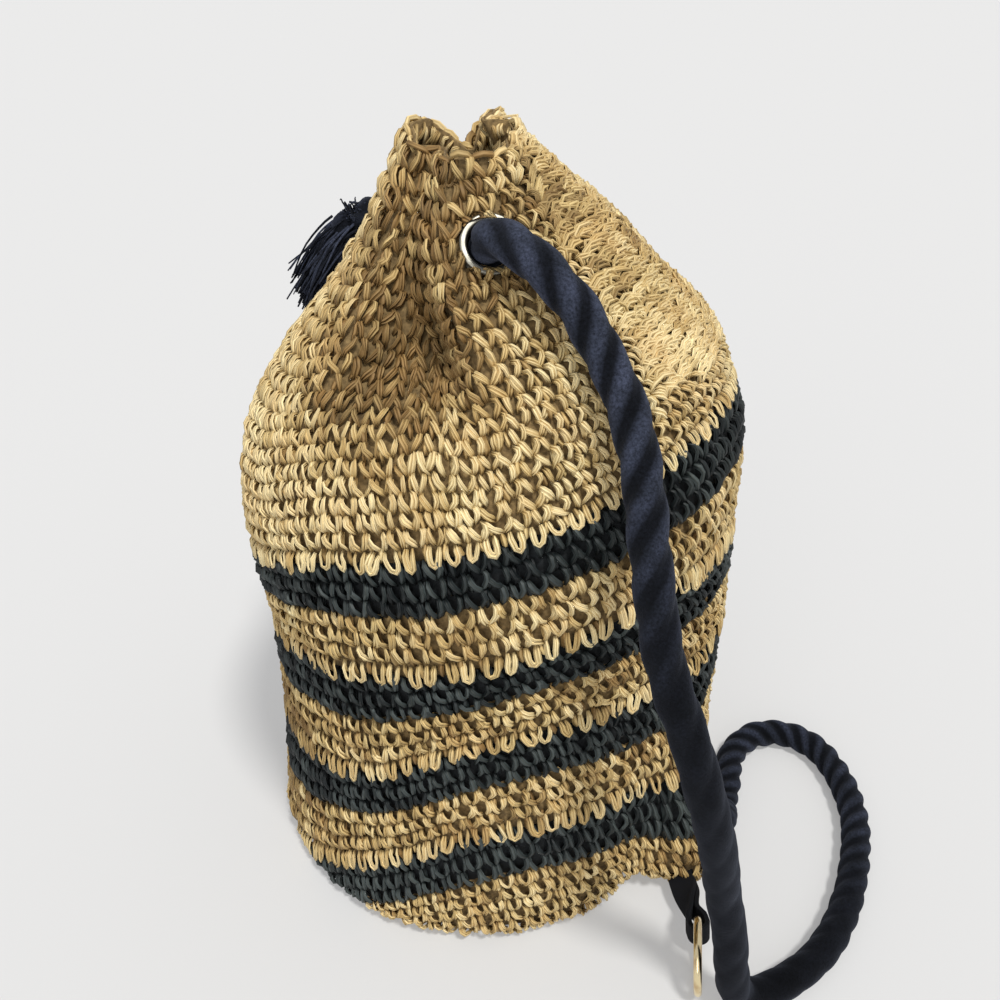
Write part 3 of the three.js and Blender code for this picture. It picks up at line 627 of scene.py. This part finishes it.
def metal_material(name, colour, tarnish, roughness):
    """Polished metal with a little tarnish in clouds."""
    material, tree, shader = new_material(name)
    link = tree.links.new
    cloud = noise(tree, Scale=160.0, Detail=4.0)
    share = ramped(tree, cloud, (0.42, (0, 0, 0)), (0.75, (1, 1, 1)))
    link(mixed(tree, "MIX", share, colour, tarnish), shader.inputs["Base Color"])
    rough = node(tree, "ShaderNodeMapRange")
    rough.inputs["To Min"].default_value = roughness * 0.7
    rough.inputs["To Max"].default_value = roughness * 1.5
    link(cloud, rough.inputs["Value"])
    link(rough.outputs[0], shader.inputs["Roughness"])
    shader.inputs["Metallic"].default_value = 1.0
    emboss(tree, shader, cloud, 0.12, 0.0003)
    return material


def webbing_material(name):
    """Dark tape with a woven face."""
    material, tree, shader = new_material(name)
    link = tree.links.new
    uv = node(tree, "ShaderNodeUVMap", uv_map="UVMap").outputs[0]
    weave = node(tree, "ShaderNodeTexWave", Scale=0.55, Distortion=1.2, Detail=1.0)
    weave.bands_direction = "Y"
    ribs = node(tree, "ShaderNodeTexWave", Scale=0.9, Distortion=0.8, Detail=1.0)
    ribs.bands_direction = "X"
    link(uv, weave.inputs["Vector"])
    link(uv, ribs.inputs["Vector"])
    both = mixed(tree, "MULTIPLY", 1.0, weave.outputs[0], ribs.outputs[0])
    colour = ramped(tree, both, (0.1, (0.004, 0.0045, 0.006)), (0.8, (0.018, 0.019, 0.025)))
    link(colour, shader.inputs["Base Color"])
    shader.inputs["Roughness"].default_value = 0.9
    shader.inputs["Specular IOR Level"].default_value = 0.15
    emboss(tree, shader, both, 0.6, 0.0004)
    return material


straw = straw_material(
    "straw", (0.19, 0.115, 0.04), (0.6, 0.45, 0.2), (0.90, 0.76, 0.44), (0.60, 0.36, 0.13), 0.62
)
navy = straw_material(
    "navy_straw", (0.002, 0.0035, 0.004), (0.0065, 0.0105, 0.011), (0.06, 0.075, 0.075), (0.006, 0.009, 0.013), 0.55
)
# The backings are the straw behind the stitches, darkened with painted shade
straw_back = painted_shade_sheet_material("straw_painted_shade_backing", (0.095, 0.06, 0.022), (0.27, 0.18, 0.074))
navy_back = painted_shade_sheet_material("navy_painted_shade_backing", (0.002, 0.003, 0.004), (0.009, 0.012, 0.014))
cotton = rope_material("cotton_rope")
nickel = metal_material("nickel", (0.3, 0.29, 0.25), (0.14, 0.13, 0.1), 0.34)
brass = metal_material("pale_brass", (0.86, 0.72, 0.44), (0.52, 0.34, 0.17), 0.18)
tape = webbing_material("webbing")

# The free rope comes first of the pieces.
front_place, front_normal = seats["grommet_front"]
base_place, base_normal = seats["grommet_base"]
back_place, back_normal = seats["grommet_back"]


def millimetres(rows):
    """A route in metres, turned to millimetres."""
    return [np.array(row) * 1000 for row in rows]


def stand_for(piece, part):
    """A piece that rides on the bag and shows one part of the CAD."""
    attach(piece, "root")
    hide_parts(part)


# The strap and the mouth's rope are cut here, a hair apart.
CUT = 0.15
strap_points = [
    front_place + front_normal * CUT,
    front_place + front_normal * FLANGE_TO,
    front_place + front_normal * (FLANGE_TO + 6),
    *millimetres(STRAP_ROUTE),
    base_place + base_normal * (FLANGE_TO + 4),
    base_place,
]
# Along the strap: painted light and shade, palest over the neck and darkest before the stripes, and the lay, most
# tightly turned in the loop
STRAP_PAINTED_LIGHT = (1.0, 1.1, 0.9, 0.5, 0.16, 0.08, 0.08, 0.08, 0.22, 0.6, 0.8, 0.7, 0.65, 0.5)
STRAP_GROOVE = (0.4, 0.52, 0.5, 0.4, 0.26, 0.16, 0.15, 0.15, 0.25, 0.5, 0.58, 0.58, 0.55, 0.5)
STRAP_LAY = (58, 60, 60, 60, 64, 66, 60, 50, 40, 34, 34, 38, 34, 34)
strap, strap_path = rope_mesh(
    "strap_rope_look", strap_points, lay=STRAP_LAY, groove=STRAP_GROOVE, painted_light=STRAP_PAINTED_LIGHT
)
stand_for(strap, "strap_rope")

inner_rope, _ = rope_mesh("base_rope_end", [base_place, *millimetres(BASE_KNOT_ROUTE)], sides=30, step=2.0)
mouth_points = [
    front_place - front_normal * CUT,
    front_place - front_normal * (FLANGE_TO + 2),
    *millimetres(MOUTH_ROUTE),
    back_place - back_normal * (FLANGE_TO + 4),
    back_place + back_normal * FLANGE_TO,
]
mouth, _ = rope_mesh("mouth_rope_look", mouth_points, sides=30, step=2.0)


# Knots: a tied lump of rope, and the frayed end outside the bag
def knot_points(middle, direction, size):
    """A trefoil turn of rope round a middle, left open by a hair."""
    t = unit(direction)
    n = unit(np.cross(t, (0.3, 0.2, 1.0)))
    b = np.cross(t, n)
    s = np.linspace(0, 2 * math.pi, 40)[:-3]
    x = (np.sin(s) + 1.6 * np.sin(2 * s)) * size
    y = (np.cos(s) - 1.6 * np.cos(2 * s)) * size
    z = -np.sin(3 * s) * size * 0.9
    return middle + x[:, None] * n + y[:, None] * b + z[:, None] * t


KNOT_LAY = (24, 24)
knot_middle = back_place + back_normal * (FLANGE_TO + KNOT_DIAMETER * 0.4)
knot, _ = rope_mesh(
    "back_knot_look", knot_points(knot_middle, back_normal, 3.6), radius=6.2, lay=KNOT_LAY, sides=28, step=1.2
)
base_way = (0.8, -0.6, 0.1)
base_middle = np.array([84, -58.5, 33.5]) - unit(base_way) * KNOT_DIAMETER * 0.4
base_knot, _ = rope_mesh(
    "base_knot_look", knot_points(base_middle, base_way, 3.2), radius=6.0, lay=KNOT_LAY, sides=20, step=2.0
)


# The frayed end: how many fibres, how far they spread, their radius and their droop
FIBRES = 840
FIBRE_SPREAD = 0.07
FIBRE_RADIUS = 0.7
FIBRE_DROOP = np.array([0.3, 0.1, -0.9])
# Its bunches: the way that each leaves the knot, and its length as a share of the knot's width
BUNCHES = [
    ((-0.78, -0.56, -0.24), 1.3), ((-0.72, -0.6, -0.3), 1.4), ((-0.7, -0.56, -0.4), 1.45),
    ((-0.74, -0.6, -0.28), 1.4), ((-0.66, -0.6, -0.44), 1.4), ((-0.7, -0.58, -0.36), 1.4),
    ((-0.2, -0.4, 0.8), 0.4),
]


def frayed(name, root):
    """Loose fibres that leave the knot in bunches and fan out."""
    rings, sides = 8, 4
    theta = np.arange(sides) * 2 * math.pi / sides
    s = np.linspace(0, 1, rings)[:, None]
    points, tones = [], []
    for k in range(FIBRES):
        way, length = BUNCHES[k % len(BUNCHES)]
        along = unit(np.array(way) + rng.normal(0, FIBRE_SPREAD, 3))
        start = root + rng.normal(0, 3.0, 3) + unit(way) * 4
        bend = rng.normal(0, 0.16, 3) + FIBRE_DROOP
        size = KNOT_DIAMETER * length * rng.uniform(0.7, 0.8)
        line = start + along * s * size + bend * (s**2) * size * 0.45
        line += 0.5 * np.sin(s * 9 + rng.uniform(0, 6)) * unit(rng.normal(0, 1, 3)) * s
        n, b = frames(line)
        r = FIBRE_RADIUS * rng.uniform(0.7, 1.3) * (1 - 0.45 * s)
        points.append(ring_points(line, r, n, b, theta))
        tones.append(np.full((rings, sides), rng.uniform(0.25, 1.0)))
    return make_mesh(name, np.array(points), tube_quads(rings, sides, FIBRES), None, np.array(tones), cotton)


tail = frayed("frayed_end", knot_middle)
for piece in (inner_rope, mouth, knot, base_knot, tail):
    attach(piece, "root")
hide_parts("mouth_rope")
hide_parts("back_knot")
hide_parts("back_knot")
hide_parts("base_knot")


# Crochet. The straw cord's radius:
STRAND = 1.12
# How far the stitches inside the neck stand off the wall's middle, beyond what those outside do
INSIDE_STEP = 1.2
# The lowest that stitches and their backing come, so that none dips below the floor
STITCH_LOWEST = 0.12
BACKING_LOWEST = 0.3
# One stitch's strands: across it in pitches, up it in rows, and off the wall in millimetres.
LEFT_LEG = ((-0.52, 0.5, 0.2), (-0.44, 0.3, 2.2), (-0.31, 0.02, 2.6), (-0.17, -0.28, 1.6), (-0.04, -0.6, -0.2))
RIGHT_LEG = ((0.12, 0.6, -0.1), (0.29, 0.4, 2.0), (0.31, 0.1, 2.5), (0.2, -0.24, 1.6), (0.06, -0.58, -0.2))
POST = ((-0.56, 0.46, -0.5), (-0.52, 0.1, 0.7), (-0.47, -0.25, 0.6), (-0.5, -0.6, -0.8))
# The lowest row of a band hangs over the next one in loops.
TOOTH = (
    (-0.24, 0.42, 0.3), (-0.25, 0.12, 2.0), (-0.24, -0.24, 2.3), (-0.18, -0.6, 2.5), (-0.01, -0.78, 2.5),
    (0.16, -0.62, 2.5), (0.21, -0.26, 2.3), (0.21, 0.1, 2.0), (0.2, 0.4, 0.3),
)
EDGE = ((-0.56, 0.38, -0.3), (-0.34, 0.6, 0.8), (-0.02, 0.7, 1.1), (0.3, 0.62, 0.8), (0.56, 0.4, -0.3))
# Threads that the gathering has drawn out sideways on the right shoulder.
DRAWN = ((-0.66, -0.34, 0.5), (-0.42, 0.06, 2.2), (0.02, 0.26, 2.9), (0.44, 0.08, 2.3), (0.64, -0.3, 0.6))


def waves(column, round_, seed):
    """Slow unevenness over the wall, mostly between -1 and 1."""
    a = np.radians(column * 360.0 / COLUMNS)
    pick = np.random.RandomState(seed)
    total = 0.0
    for turns, climb in ((3, 0.5), (7, 0.9), (13, 0.35), (19, 1.3)):
        total = total + np.sin(turns * a + climb * round_ + pick.uniform(0, 6.3))
    return total / 2.6


# Places where the straw is darker, partly browner from use and partly painted shade in the pocket and the neck's
# recesses: azimuth and its half width, round and its half width, how dark
WEAR_AND_SHADE = (
    (-112, 30, 33, 5.5, 1.0),
    (-119, 18, 35, 5, 0.3),
    (-135, 50, 40, 7, 0.78),
    (-92, 32, 37, 8, 0.34),
    (-45, 60, 40, 7, 0.48),
    (0, 70, 32, 9, 0.34),
    (-172, 50, 10, 15, 0.42),
)


def wear_and_shade(column, round_):
    """Where the straw is darker: partly browner from use, partly painted shade."""
    azimuth = column * 360.0 / COLUMNS
    total = np.zeros(len(column))
    for middle, width, at, high, amount in WEAR_AND_SHADE:
        beside, above = bump_at(turn_between(azimuth, middle), width), bump_at(round_ - at, high)
        total = total + amount * beside**0.6 * above**0.6
    return total


def drawn(column, round_):
    """How much the gathering has drawn the stitches aside: most on the right shoulder."""
    return smoothstep(round_, 25, 29) * bump_at(turn_between(column * 360.0 / COLUMNS, -8), 62)


def strand_tubes(centres, template, radius, sides, wild, side, sink, step, plies):
    """Tubes of one strand for every stitch. centres holds each stitch's column, round and pitch.

    The spreads of the random draws below are how unevenly the stitches are worked.
    """
    column, round_, pitch = centres
    shape = np.array(template)
    count = len(column)
    u = shape[None, :, 0] * rng.normal(1, 0.17 * wild, count)[:, None] + rng.normal(0, 0.06 * wild, count)[:, None]
    v = shape[None, :, 1] * rng.normal(1, 0.06 * wild, count)[:, None] + rng.normal(0, 0.05 * wild, count)[:, None]
    turn = rng.normal(0, 0.13 * wild, count)[:, None]
    u, v = u * np.cos(turn) - v * np.sin(turn), v * np.cos(turn) + u * np.sin(turn)
    u = u - (1.1 * drawn(column, round_) + 0.12)[:, None] * v
    u = u + rng.normal(0, 0.02 * wild, u.shape)
    v = v + 0.10 * waves(column, round_, 3)[:, None]
    w = shape[None, :, 2] + rng.normal(0, 0.3 * wild, count)[:, None] + rng.normal(0, 0.12 * wild, u.shape)
    w = w + 0.5 * waves(column, round_, 11)[:, None] - sink
    if side < 0:
        w = -w - INSIDE_STEP
    row = np.clip(((round_ - CENTRE_ROUND) * SUB).astype(int), 0, len(rounds) - 1)
    length = walk[row, -1]
    columns = np.empty_like(u)
    for r in np.unique(row):
        mine = np.flatnonzero(row == r)
        here = np.interp(column[mine], np.arange(COLUMNS + 1), walk[r])
        goal = (here[:, None] + u[mine] * pitch[mine, None]) % length[mine, None]
        columns[mine] = np.interp(goal, walk[r], np.arange(COLUMNS + 1))
    centre, normal = on_wall(columns, round_[:, None] + v * step, w)
    along = unit(np.gradient(centre, axis=1))
    across = unit(np.cross(along, normal))
    rise = np.cross(across, along)
    theta = np.arange(sides) * 2 * math.pi / sides - math.pi / 2
    rings = shape.shape[0]
    taper = np.ones(rings)
    taper[0], taper[-1] = 0.7, 0.6
    thick = radius * rng.normal(1, 0.1, count)[:, None] * taper[None] * rng.normal(1, 0.06, (count, rings))
    if plies > 1:
        # Each strand is two threads that lie side by side and twist a little.
        twist = rng.normal(0, 0.5, count)[:, None] + np.linspace(-0.5, 0.7, rings)[None]
        aside = np.cos(twist)[..., None] * across + np.sin(twist)[..., None] * rise
        aside = aside * (thick * 0.54)[..., None]
        centre = np.concatenate([centre - aside, centre + aside])
        across, rise = np.concatenate([across, across]), np.concatenate([rise, rise])
        thick = np.concatenate([thick, thick * rng.normal(1, 0.08, (count, 1))]) * 0.62
        count = count * 2
    squash = rng.normal(1.08, 0.1, count)[:, None, None]
    sideways = (squash * np.cos(theta))[..., None] * across[:, :, None]
    outwards = (np.sin(theta) / squash)[..., None] * rise[:, :, None]
    ring = centre[:, :, None] + thick[:, :, None, None] * (sideways + outwards)
    run = np.cumsum(np.linalg.norm(np.diff(centre, axis=1, prepend=centre[:, :1]), axis=2), axis=1)
    uv = np.zeros((count, rings, sides, 2))
    uv[..., 0] = (np.arange(sides) / sides)[None, None]
    uv[..., 1] = run[:, :, None] + rng.uniform(0, 400, count)[:, None, None]
    return ring, uv, tube_quads(rings, sides, count)


def stitch_rows(low, high, rows, wide):
    """Where the stitches of a band's rows sit."""
    column, round_, pitch = [], [], []
    for k in range(rows):
        middle = low + (k + 0.5) * (high - low) / rows
        line = walk[int(round((middle - CENTRE_ROUND) * SUB))]
        count = max(5, int(round(line[-1] / wide)))
        start = rng.uniform(0, 1)
        at = (np.arange(count) + start + rng.normal(0, 0.06, count)) / count % 1
        column.append(np.interp(at * line[-1], line, np.arange(COLUMNS + 1)))
        round_.append(np.full(count, middle))
        pitch.append(np.full(count, line[-1] / count))
    return np.concatenate(column), np.concatenate(round_), np.concatenate(pitch)


# How far stitches keep off an eyelet's axis, and by how much less a stitch's middle may
CLEAR = EYELET_FLANGE + 0.4
CLEAR_LESS = {"grommet_front": 2.6, "grommet_back": 1.0, "grommet_base": 1.0}


def away_from_eyelets(centres):
    """The stitches whose middles aren't on an eyelet."""
    point, _ = on_wall(centres[0], centres[1], np.zeros(len(centres[0])))
    keep = np.ones(len(point), bool)
    for name, (place, normal) in seats.items():
        proud, _, away = off_eyelet(point, place, normal)
        keep &= (away > CLEAR - CLEAR_LESS[name]) | (np.abs(proud) > 20)
    return tuple(c[keep] for c in centres)


def push_clear(points):
    """Keeps stitches off the eyelets, but lets them lie over the front one's flange, except at its left."""
    for name, (place, normal) in seats.items():
        proud, flat, away = off_eyelet(points, place, normal)
        least = np.full(len(points), CLEAR)
        if name == "grommet_front":
            leftward = flat @ unit(np.cross(normal, (0, 0, 1))) / np.maximum(away, 0.5)
            over = (proud > 0) & (proud < 8)
            least = np.where(over, EYELET_BORE + 0.8 + 1.9 * smoothstep(leftward, 0.2, 0.75), least)
            proud = np.where(over & (away < CLEAR), np.maximum(proud, FLANGE_TO + 1.1), proud)
        near = (away < least) & (np.abs(proud) < 12)
        scale = np.where(near, least / np.maximum(away, 0.5), 1.0)
        points = place + proud[..., None] * normal + flat * scale[..., None]
    return points


def crochet(
    name, low, high, dark, rows, wide, side=1, rim=False, teeth=True, fine=True, lift=0.0, strand=STRAND
):
    """One band's stitches, as a single piece.

    side is -1 for stitches inside the wall, rim adds the edge of the mouth, teeth lets the lowest row hang
    over the next band, fine adds posts and twin threads, and lift makes the straw paler.
    """
    wild = 0.8 if dark else 1.0
    made = {"points": [], "uv": [], "quads": [], "tone": []}
    base = 0
    step = (high - low) / rows

    def add(centres, shade, template, radius, sides, sink=0.0, plies=1):
        nonlocal base
        if not len(centres[0]):
            return
        ring, uv, quads = strand_tubes(centres, template, radius, sides, wild, side, sink, step, plies)
        tone = shade + rng.normal(0, 0.09, len(shade))
        if plies > 1:
            tone = np.concatenate([tone, tone]) + rng.normal(0, 0.06, len(tone) * 2)
        # Painted shade where a strand lies deep in the wall, painted light where it stands proud
        deep = np.clip((np.array(template)[:, 2] - 1.3) * 0.15, -0.25, 0.14)
        tone = tone[:, None, None] + deep[None, :, None]
        made["tone"].append(np.broadcast_to(tone, ring.shape[:3]).reshape(-1))
        made["points"].append(ring.reshape(-1, 3))
        made["uv"].append(uv.reshape(-1, 2))
        made["quads"].append(quads + base)
        base += ring.shape[0] * ring.shape[1] * ring.shape[2]

    centres = away_from_eyelets(stitch_rows(low, high, rows, wide))
    shade = rng.normal(0.56, 0.17, len(centres[0])) + 0.12 * waves(centres[0], centres[1], 5) + lift
    # Darker where the straw is browner from use, and painted shade in the pocket and the neck's recesses
    shade = np.clip(shade - wear_and_shade(*centres[:2]), -0.1, 1)
    hem = centres[1] < low + step if teeth else np.zeros(len(shade), bool)
    first = centres[1] > high - step
    plies = 2 if fine and not dark else 1
    for mask, sink in ((~hem & ~first, 0.0), (first & ~hem, 0.0 if rim or side < 0 or not dark else 0.5)):
        part = tuple(c[mask] for c in centres)
        add(part, shade[mask], LEFT_LEG, strand, 4, sink, plies)
        add(part, shade[mask], RIGHT_LEG, strand, 4, sink, plies)
        # The posts lie deeper, between the legs, and get painted shade
        if fine:
            add(part, shade[mask] - 0.16, POST, strand * 1.05, 4, sink)
    # The hanging loops stand proud and get painted light; their posts get painted shade
    add(tuple(c[hem] for c in centres), shade[hem] + 0.1, TOOTH, strand, 4, 0.0, plies)
    add(tuple(c[hem] for c in centres), shade[hem] - 0.2, POST, strand * 1.05, 4)
    if side > 0 and high > 27 and not dark:
        pulled = drawn(*centres[:2]) > 0.3
        for shift in (-0.26, -0.05, 0.16, 0.36):
            part = (centres[0][pulled], centres[1][pulled] + shift * step, centres[2][pulled] * 1.25)
            add(part, shade[pulled] + 0.05, DRAWN, STRAND * 0.72, 4)
    if rim:
        add(tuple(c[first] for c in centres), shade[first], EDGE, strand, 6)
    points = push_clear(np.concatenate(made["points"]))
    points[:, 2] = np.maximum(points[:, 2], STITCH_LOWEST)
    quads, uv = np.concatenate(made["quads"]), np.concatenate(made["uv"])
    tone = np.clip(np.concatenate(made["tone"]), 0, 1)
    return make_mesh(name, points, quads, uv, tone, navy if dark else straw)


def backing(name, low, high, dark):
    """The closed layer under a band's stitches."""
    rows = np.arange(low, high + 1.0)
    if high == RIM_ROUND:
        rows[-1] += 0.25
    columns = np.arange(0, COLUMNS, 6).astype(float)
    grid_columns, grid_rounds = np.meshgrid(columns, rows)
    outer, _ = on_wall(grid_columns, grid_rounds, np.full(grid_rounds.shape, -1.3))
    inner, _ = on_wall(grid_columns, grid_rounds, np.full(grid_rounds.shape, -2.1))
    n, m = grid_rounds.shape
    points = np.concatenate([outer.reshape(-1, 3), inner.reshape(-1, 3)])
    points[:, 2] = np.maximum(points[:, 2], BACKING_LOWEST)
    i, j = np.meshgrid(np.arange(n - 1), np.arange(m), indexing="ij")
    a, b = i * m + j, i * m + (j + 1) % m
    front = np.stack([a, b, b + m, a + m], -1).reshape(-1, 4)
    rear = front[:, ::-1] + n * m
    at = np.arange(m)
    after = (at + 1) % m
    top, top_inside = (n - 1) * m, (2 * n - 1) * m
    ends = [np.stack([top + at, top + after, top_inside + after, top_inside + at], -1)]
    if low != CENTRE_ROUND:
        ends.append(np.stack([after, at, n * m + at, n * m + after], -1))
    quads = np.concatenate([front, rear, *ends])
    keep = np.ones(len(quads), bool)
    middle = points[quads].mean(1)
    for place, normal in seats.values():
        proud, _, away = off_eyelet(middle, place, normal)
        keep &= (away > EYELET_BORE + 0.8) | (np.abs(proud) > 14)
    uv = np.zeros((len(points), 2))
    return make_mesh(name, points, quads[keep], uv, None, navy_back if dark else straw_back)


# Bands: name, from round, to round, dark, rows of stitches, their pitch and how much paler they are
BANDS = (
    ("straw_floor", -18, -9, False, 9, 9.0, 0.0),
    ("straw_base", -9, 0, False, 9, 8.3, -0.08),
    ("navy_stripe_4", 0, 3, True, 3, 8.3, 0.25),
    ("straw_band_3", 3, 7, False, 4, 8.3, -0.08),
    ("navy_stripe_3", 7, 10, True, 3, 8.3, 0.1),
    ("straw_band_2", 10, 14, False, 4, 8.3, -0.14),
    ("navy_stripe_2", 14, 17, True, 3, 8.3, 0.05),
    ("straw_band_1", 17, 21, False, 4, 8.3, -0.02),
    ("navy_stripe_1", 21, 24, True, 3, 8.3, 0.0),
    ("straw_shoulder", 24, 31, False, 9, 7.9, 0.22),
    ("straw_neck", 31, 43, False, 14, 8.8, 0.14),
)
SMOOTH_EDGED = ("straw_floor", "straw_base", "straw_neck")
STRAND_BY_BAND = {"straw_shoulder": 0.97}
for band, low, high, dark, rows, wide, lift in BANDS:
    neck = band == "straw_neck"
    pieces = [
        backing(band + "_backing", low, high, dark),
        crochet(
            band + "_stitches", low, high, dark, rows, wide, rim=neck,
            teeth=not dark and band not in SMOOTH_EDGED,
            fine=band != "straw_floor",
            lift=lift,
            strand=STRAND * STRAND_BY_BAND.get(band, 1.06),
        ),
    ]
    if neck:
        pieces.append(crochet(band + "_inside", 37, 43, False, 7, 8.3, side=-1, teeth=False))
    for piece in pieces:
        stand_for(piece, band)


# Fittings
def revolve(name, profile, place, axis, material, segments=72):
    """A closed profile of radius and height turned about an axis."""
    axis = unit(axis)
    n = unit(np.cross(axis, (0.31, 0.22, 0.92)))
    b = np.cross(axis, n)
    profile = np.array(profile)
    turn = np.arange(segments) * 2 * math.pi / segments
    ring = np.cos(turn)[:, None] * n + np.sin(turn)[:, None] * b
    points = place + profile[None, :, :1] * ring[:, None] + profile[None, :, 1:] * axis
    quads = tube_quads(segments, len(profile), close=True)
    return make_mesh(name, points, quads, None, None, material)


def eyelet_profile():
    """A rolled flange in front, a barrel, and a flat washer behind."""
    lip = [(EYELET_FLANGE - 0.1, FLANGE_FROM), (EYELET_FLANGE, FLANGE_FROM + 0.5)]
    for k in range(9):
        a = k / 8 * math.pi / 2
        lip.append((EYELET_FLANGE - 0.9 + 0.9 * math.cos(a), FLANGE_TO - 0.6 + 0.7 * math.sin(a)))
    for k in range(9):
        a = k / 8 * math.pi / 2
        lip.append((EYELET_BORE + 1.1 - 1.1 * math.sin(a), FLANGE_TO + 0.1 - 1.2 + 1.2 * math.cos(a)))
    return lip + [
        (EYELET_BORE, 0.0), (EYELET_BORE, -FLANGE_TO), (EYELET_FLANGE - 0.2, -FLANGE_TO),
        (EYELET_FLANGE, -FLANGE_FROM - 0.3), (EYELET_FLANGE - 0.2, -FLANGE_FROM),
        (EYELET_BARREL, -FLANGE_FROM), (EYELET_BARREL, FLANGE_FROM),
    ]


for name, (place, normal) in seats.items():
    stand_for(revolve(name + "_look", eyelet_profile()[::-1], place, normal, nickel), name)

ring_top = unit((-0.11, 0.0, 1.0))
ring_to_bag = unit((0.17, 0.985, 0.0))
ring_axis = unit(np.cross(ring_to_bag, ring_top))
ring_place = np.array([0.914 * BODY_RADIUS, -1.172 * BODY_RADIUS, RING_RADIUS * ring_top[2] + RING_WIRE / 2])
wire = [
    (RING_RADIUS + RING_WIRE / 2 * math.cos(a), RING_WIRE / 2 * math.sin(a))
    for a in np.linspace(0, 2 * math.pi, 21)[:-1]
]
stand_for(revolve("ring_look", wire, ring_place, ring_axis, brass, 96), "ring")


def turned(v, axis, angle):
    """A direction turned about an axis."""
    return v * math.cos(angle) + np.cross(axis, v) * math.sin(angle) + axis * (axis @ v) * (1 - math.cos(angle))


def tab_piece():
    """A strip of webbing folded round the ring's wire, whose two plies meet and turn behind it."""
    run_way = unit((-0.07, 0.96, -0.2))
    fold = math.sqrt(RING_RADIUS**2 - (TAB_WIDTH / 2) ** 2) - RING_RADIUS
    wide, narrow = RING_WIRE / 2 + 1.05 + TAB_PLY / 2, TAB_PLY / 2 + 0.15
    arm = []
    for k in range(25):
        run = TAB_LENGTH + (fold - TAB_LENGTH) * k / 24
        spread = wide + (narrow - wide) * float(smoothstep(run, 2, 10))
        arm.append((run, -spread, 0.0, -1.0))
    line = list(arm)
    for k in range(1, 16):
        a = (k / 16 - 0.5) * math.pi
        line.append((fold - wide * math.cos(a), wide * math.sin(a), -math.cos(a), math.sin(a)))
    line += [(run, -off, 0.0, 1.0) for run, off, _, _ in reversed(arm)]
    soft = 0.8
    x_in, y_in = TAB_WIDTH / 2 - soft, TAB_PLY / 2 - soft
    section = []
    for start, (x, y) in enumerate(((x_in, y_in), (-x_in, y_in), (-x_in, -y_in), (x_in, -y_in))):
        for k in range(4):
            a = (start + k / 3) * math.pi / 2
            section.append((x + soft * math.cos(a), y + soft * math.sin(a)))
    origin = ring_place + ring_to_bag * RING_RADIUS
    points, uv, travel = [], [], 0.0
    for k, (run, off, out_run, out_off) in enumerate(line):
        if k:
            travel += math.hypot(run - line[k - 1][0], off - line[k - 1][1])
        turn = math.radians(TAB_TWIST) * float(smoothstep(run, 5, TAB_LENGTH - 6))
        across = turned(ring_top, run_way, turn)
        outward = turned(unit(np.cross(run_way, ring_top)), run_way, turn)
        for w, t in section:
            points.append(origin + run_way * (run + t * out_run) + outward * (off + t * out_off) + across * w)
            uv.append((w, travel))
    quads = tube_quads(len(line), len(section))
    return make_mesh("corner_tab_look", np.array(points), quads, np.array(uv), None, tape)


stand_for(tab_piece(), "corner_tab")

# Floor and light
floor_mesh = bpy.data.meshes.new("floor")
floor_mesh.from_pydata([(-40, -40, 0), (40, -40, 0), (40, 40, 0), (-40, 40, 0)], [], [(0, 1, 2, 3)])
floor = bpy.data.objects.new("floor", floor_mesh)
scene.collection.objects.link(floor)
floor_material, _, floor_shader = new_material("floor")
floor_shader.inputs["Base Color"].default_value = (0.405, 0.405, 0.405, 1)
floor_shader.inputs["Emission Color"].default_value = (1, 1, 1, 1)
floor_shader.inputs["Emission Strength"].default_value = 0.25
floor_shader.inputs["Roughness"].default_value = 1.0
floor_shader.inputs["Specular IOR Level"].default_value = 0.0
floor_mesh.materials.append(floor_material)


def sun(name, towards, strength, angle, colour):
    """A sun that stands towards a direction."""
    data = bpy.data.lights.new(name, "SUN")
    data.energy = strength
    data.angle = math.radians(angle)
    data.color = colour
    made = bpy.data.objects.new(name, data)
    made.rotation_euler = Vector(towards).to_track_quat("Z", "Y").to_euler()
    scene.collection.objects.link(made)


sun("key", (0.22, -0.36, 0.9), 2.5, 9, (1.0, 0.985, 0.95))
sun("front", (-0.3, -0.9, 0.5), 0.8, 40, (1.0, 0.99, 0.97))
world = bpy.data.worlds.new("studio")
world.use_nodes = True
world.node_tree.nodes["Background"].inputs["Color"].default_value = (0.96, 0.97, 1.0, 1)
world.node_tree.nodes["Background"].inputs["Strength"].default_value = 0.62
scene.world = world

bpy.context.view_layer.update()
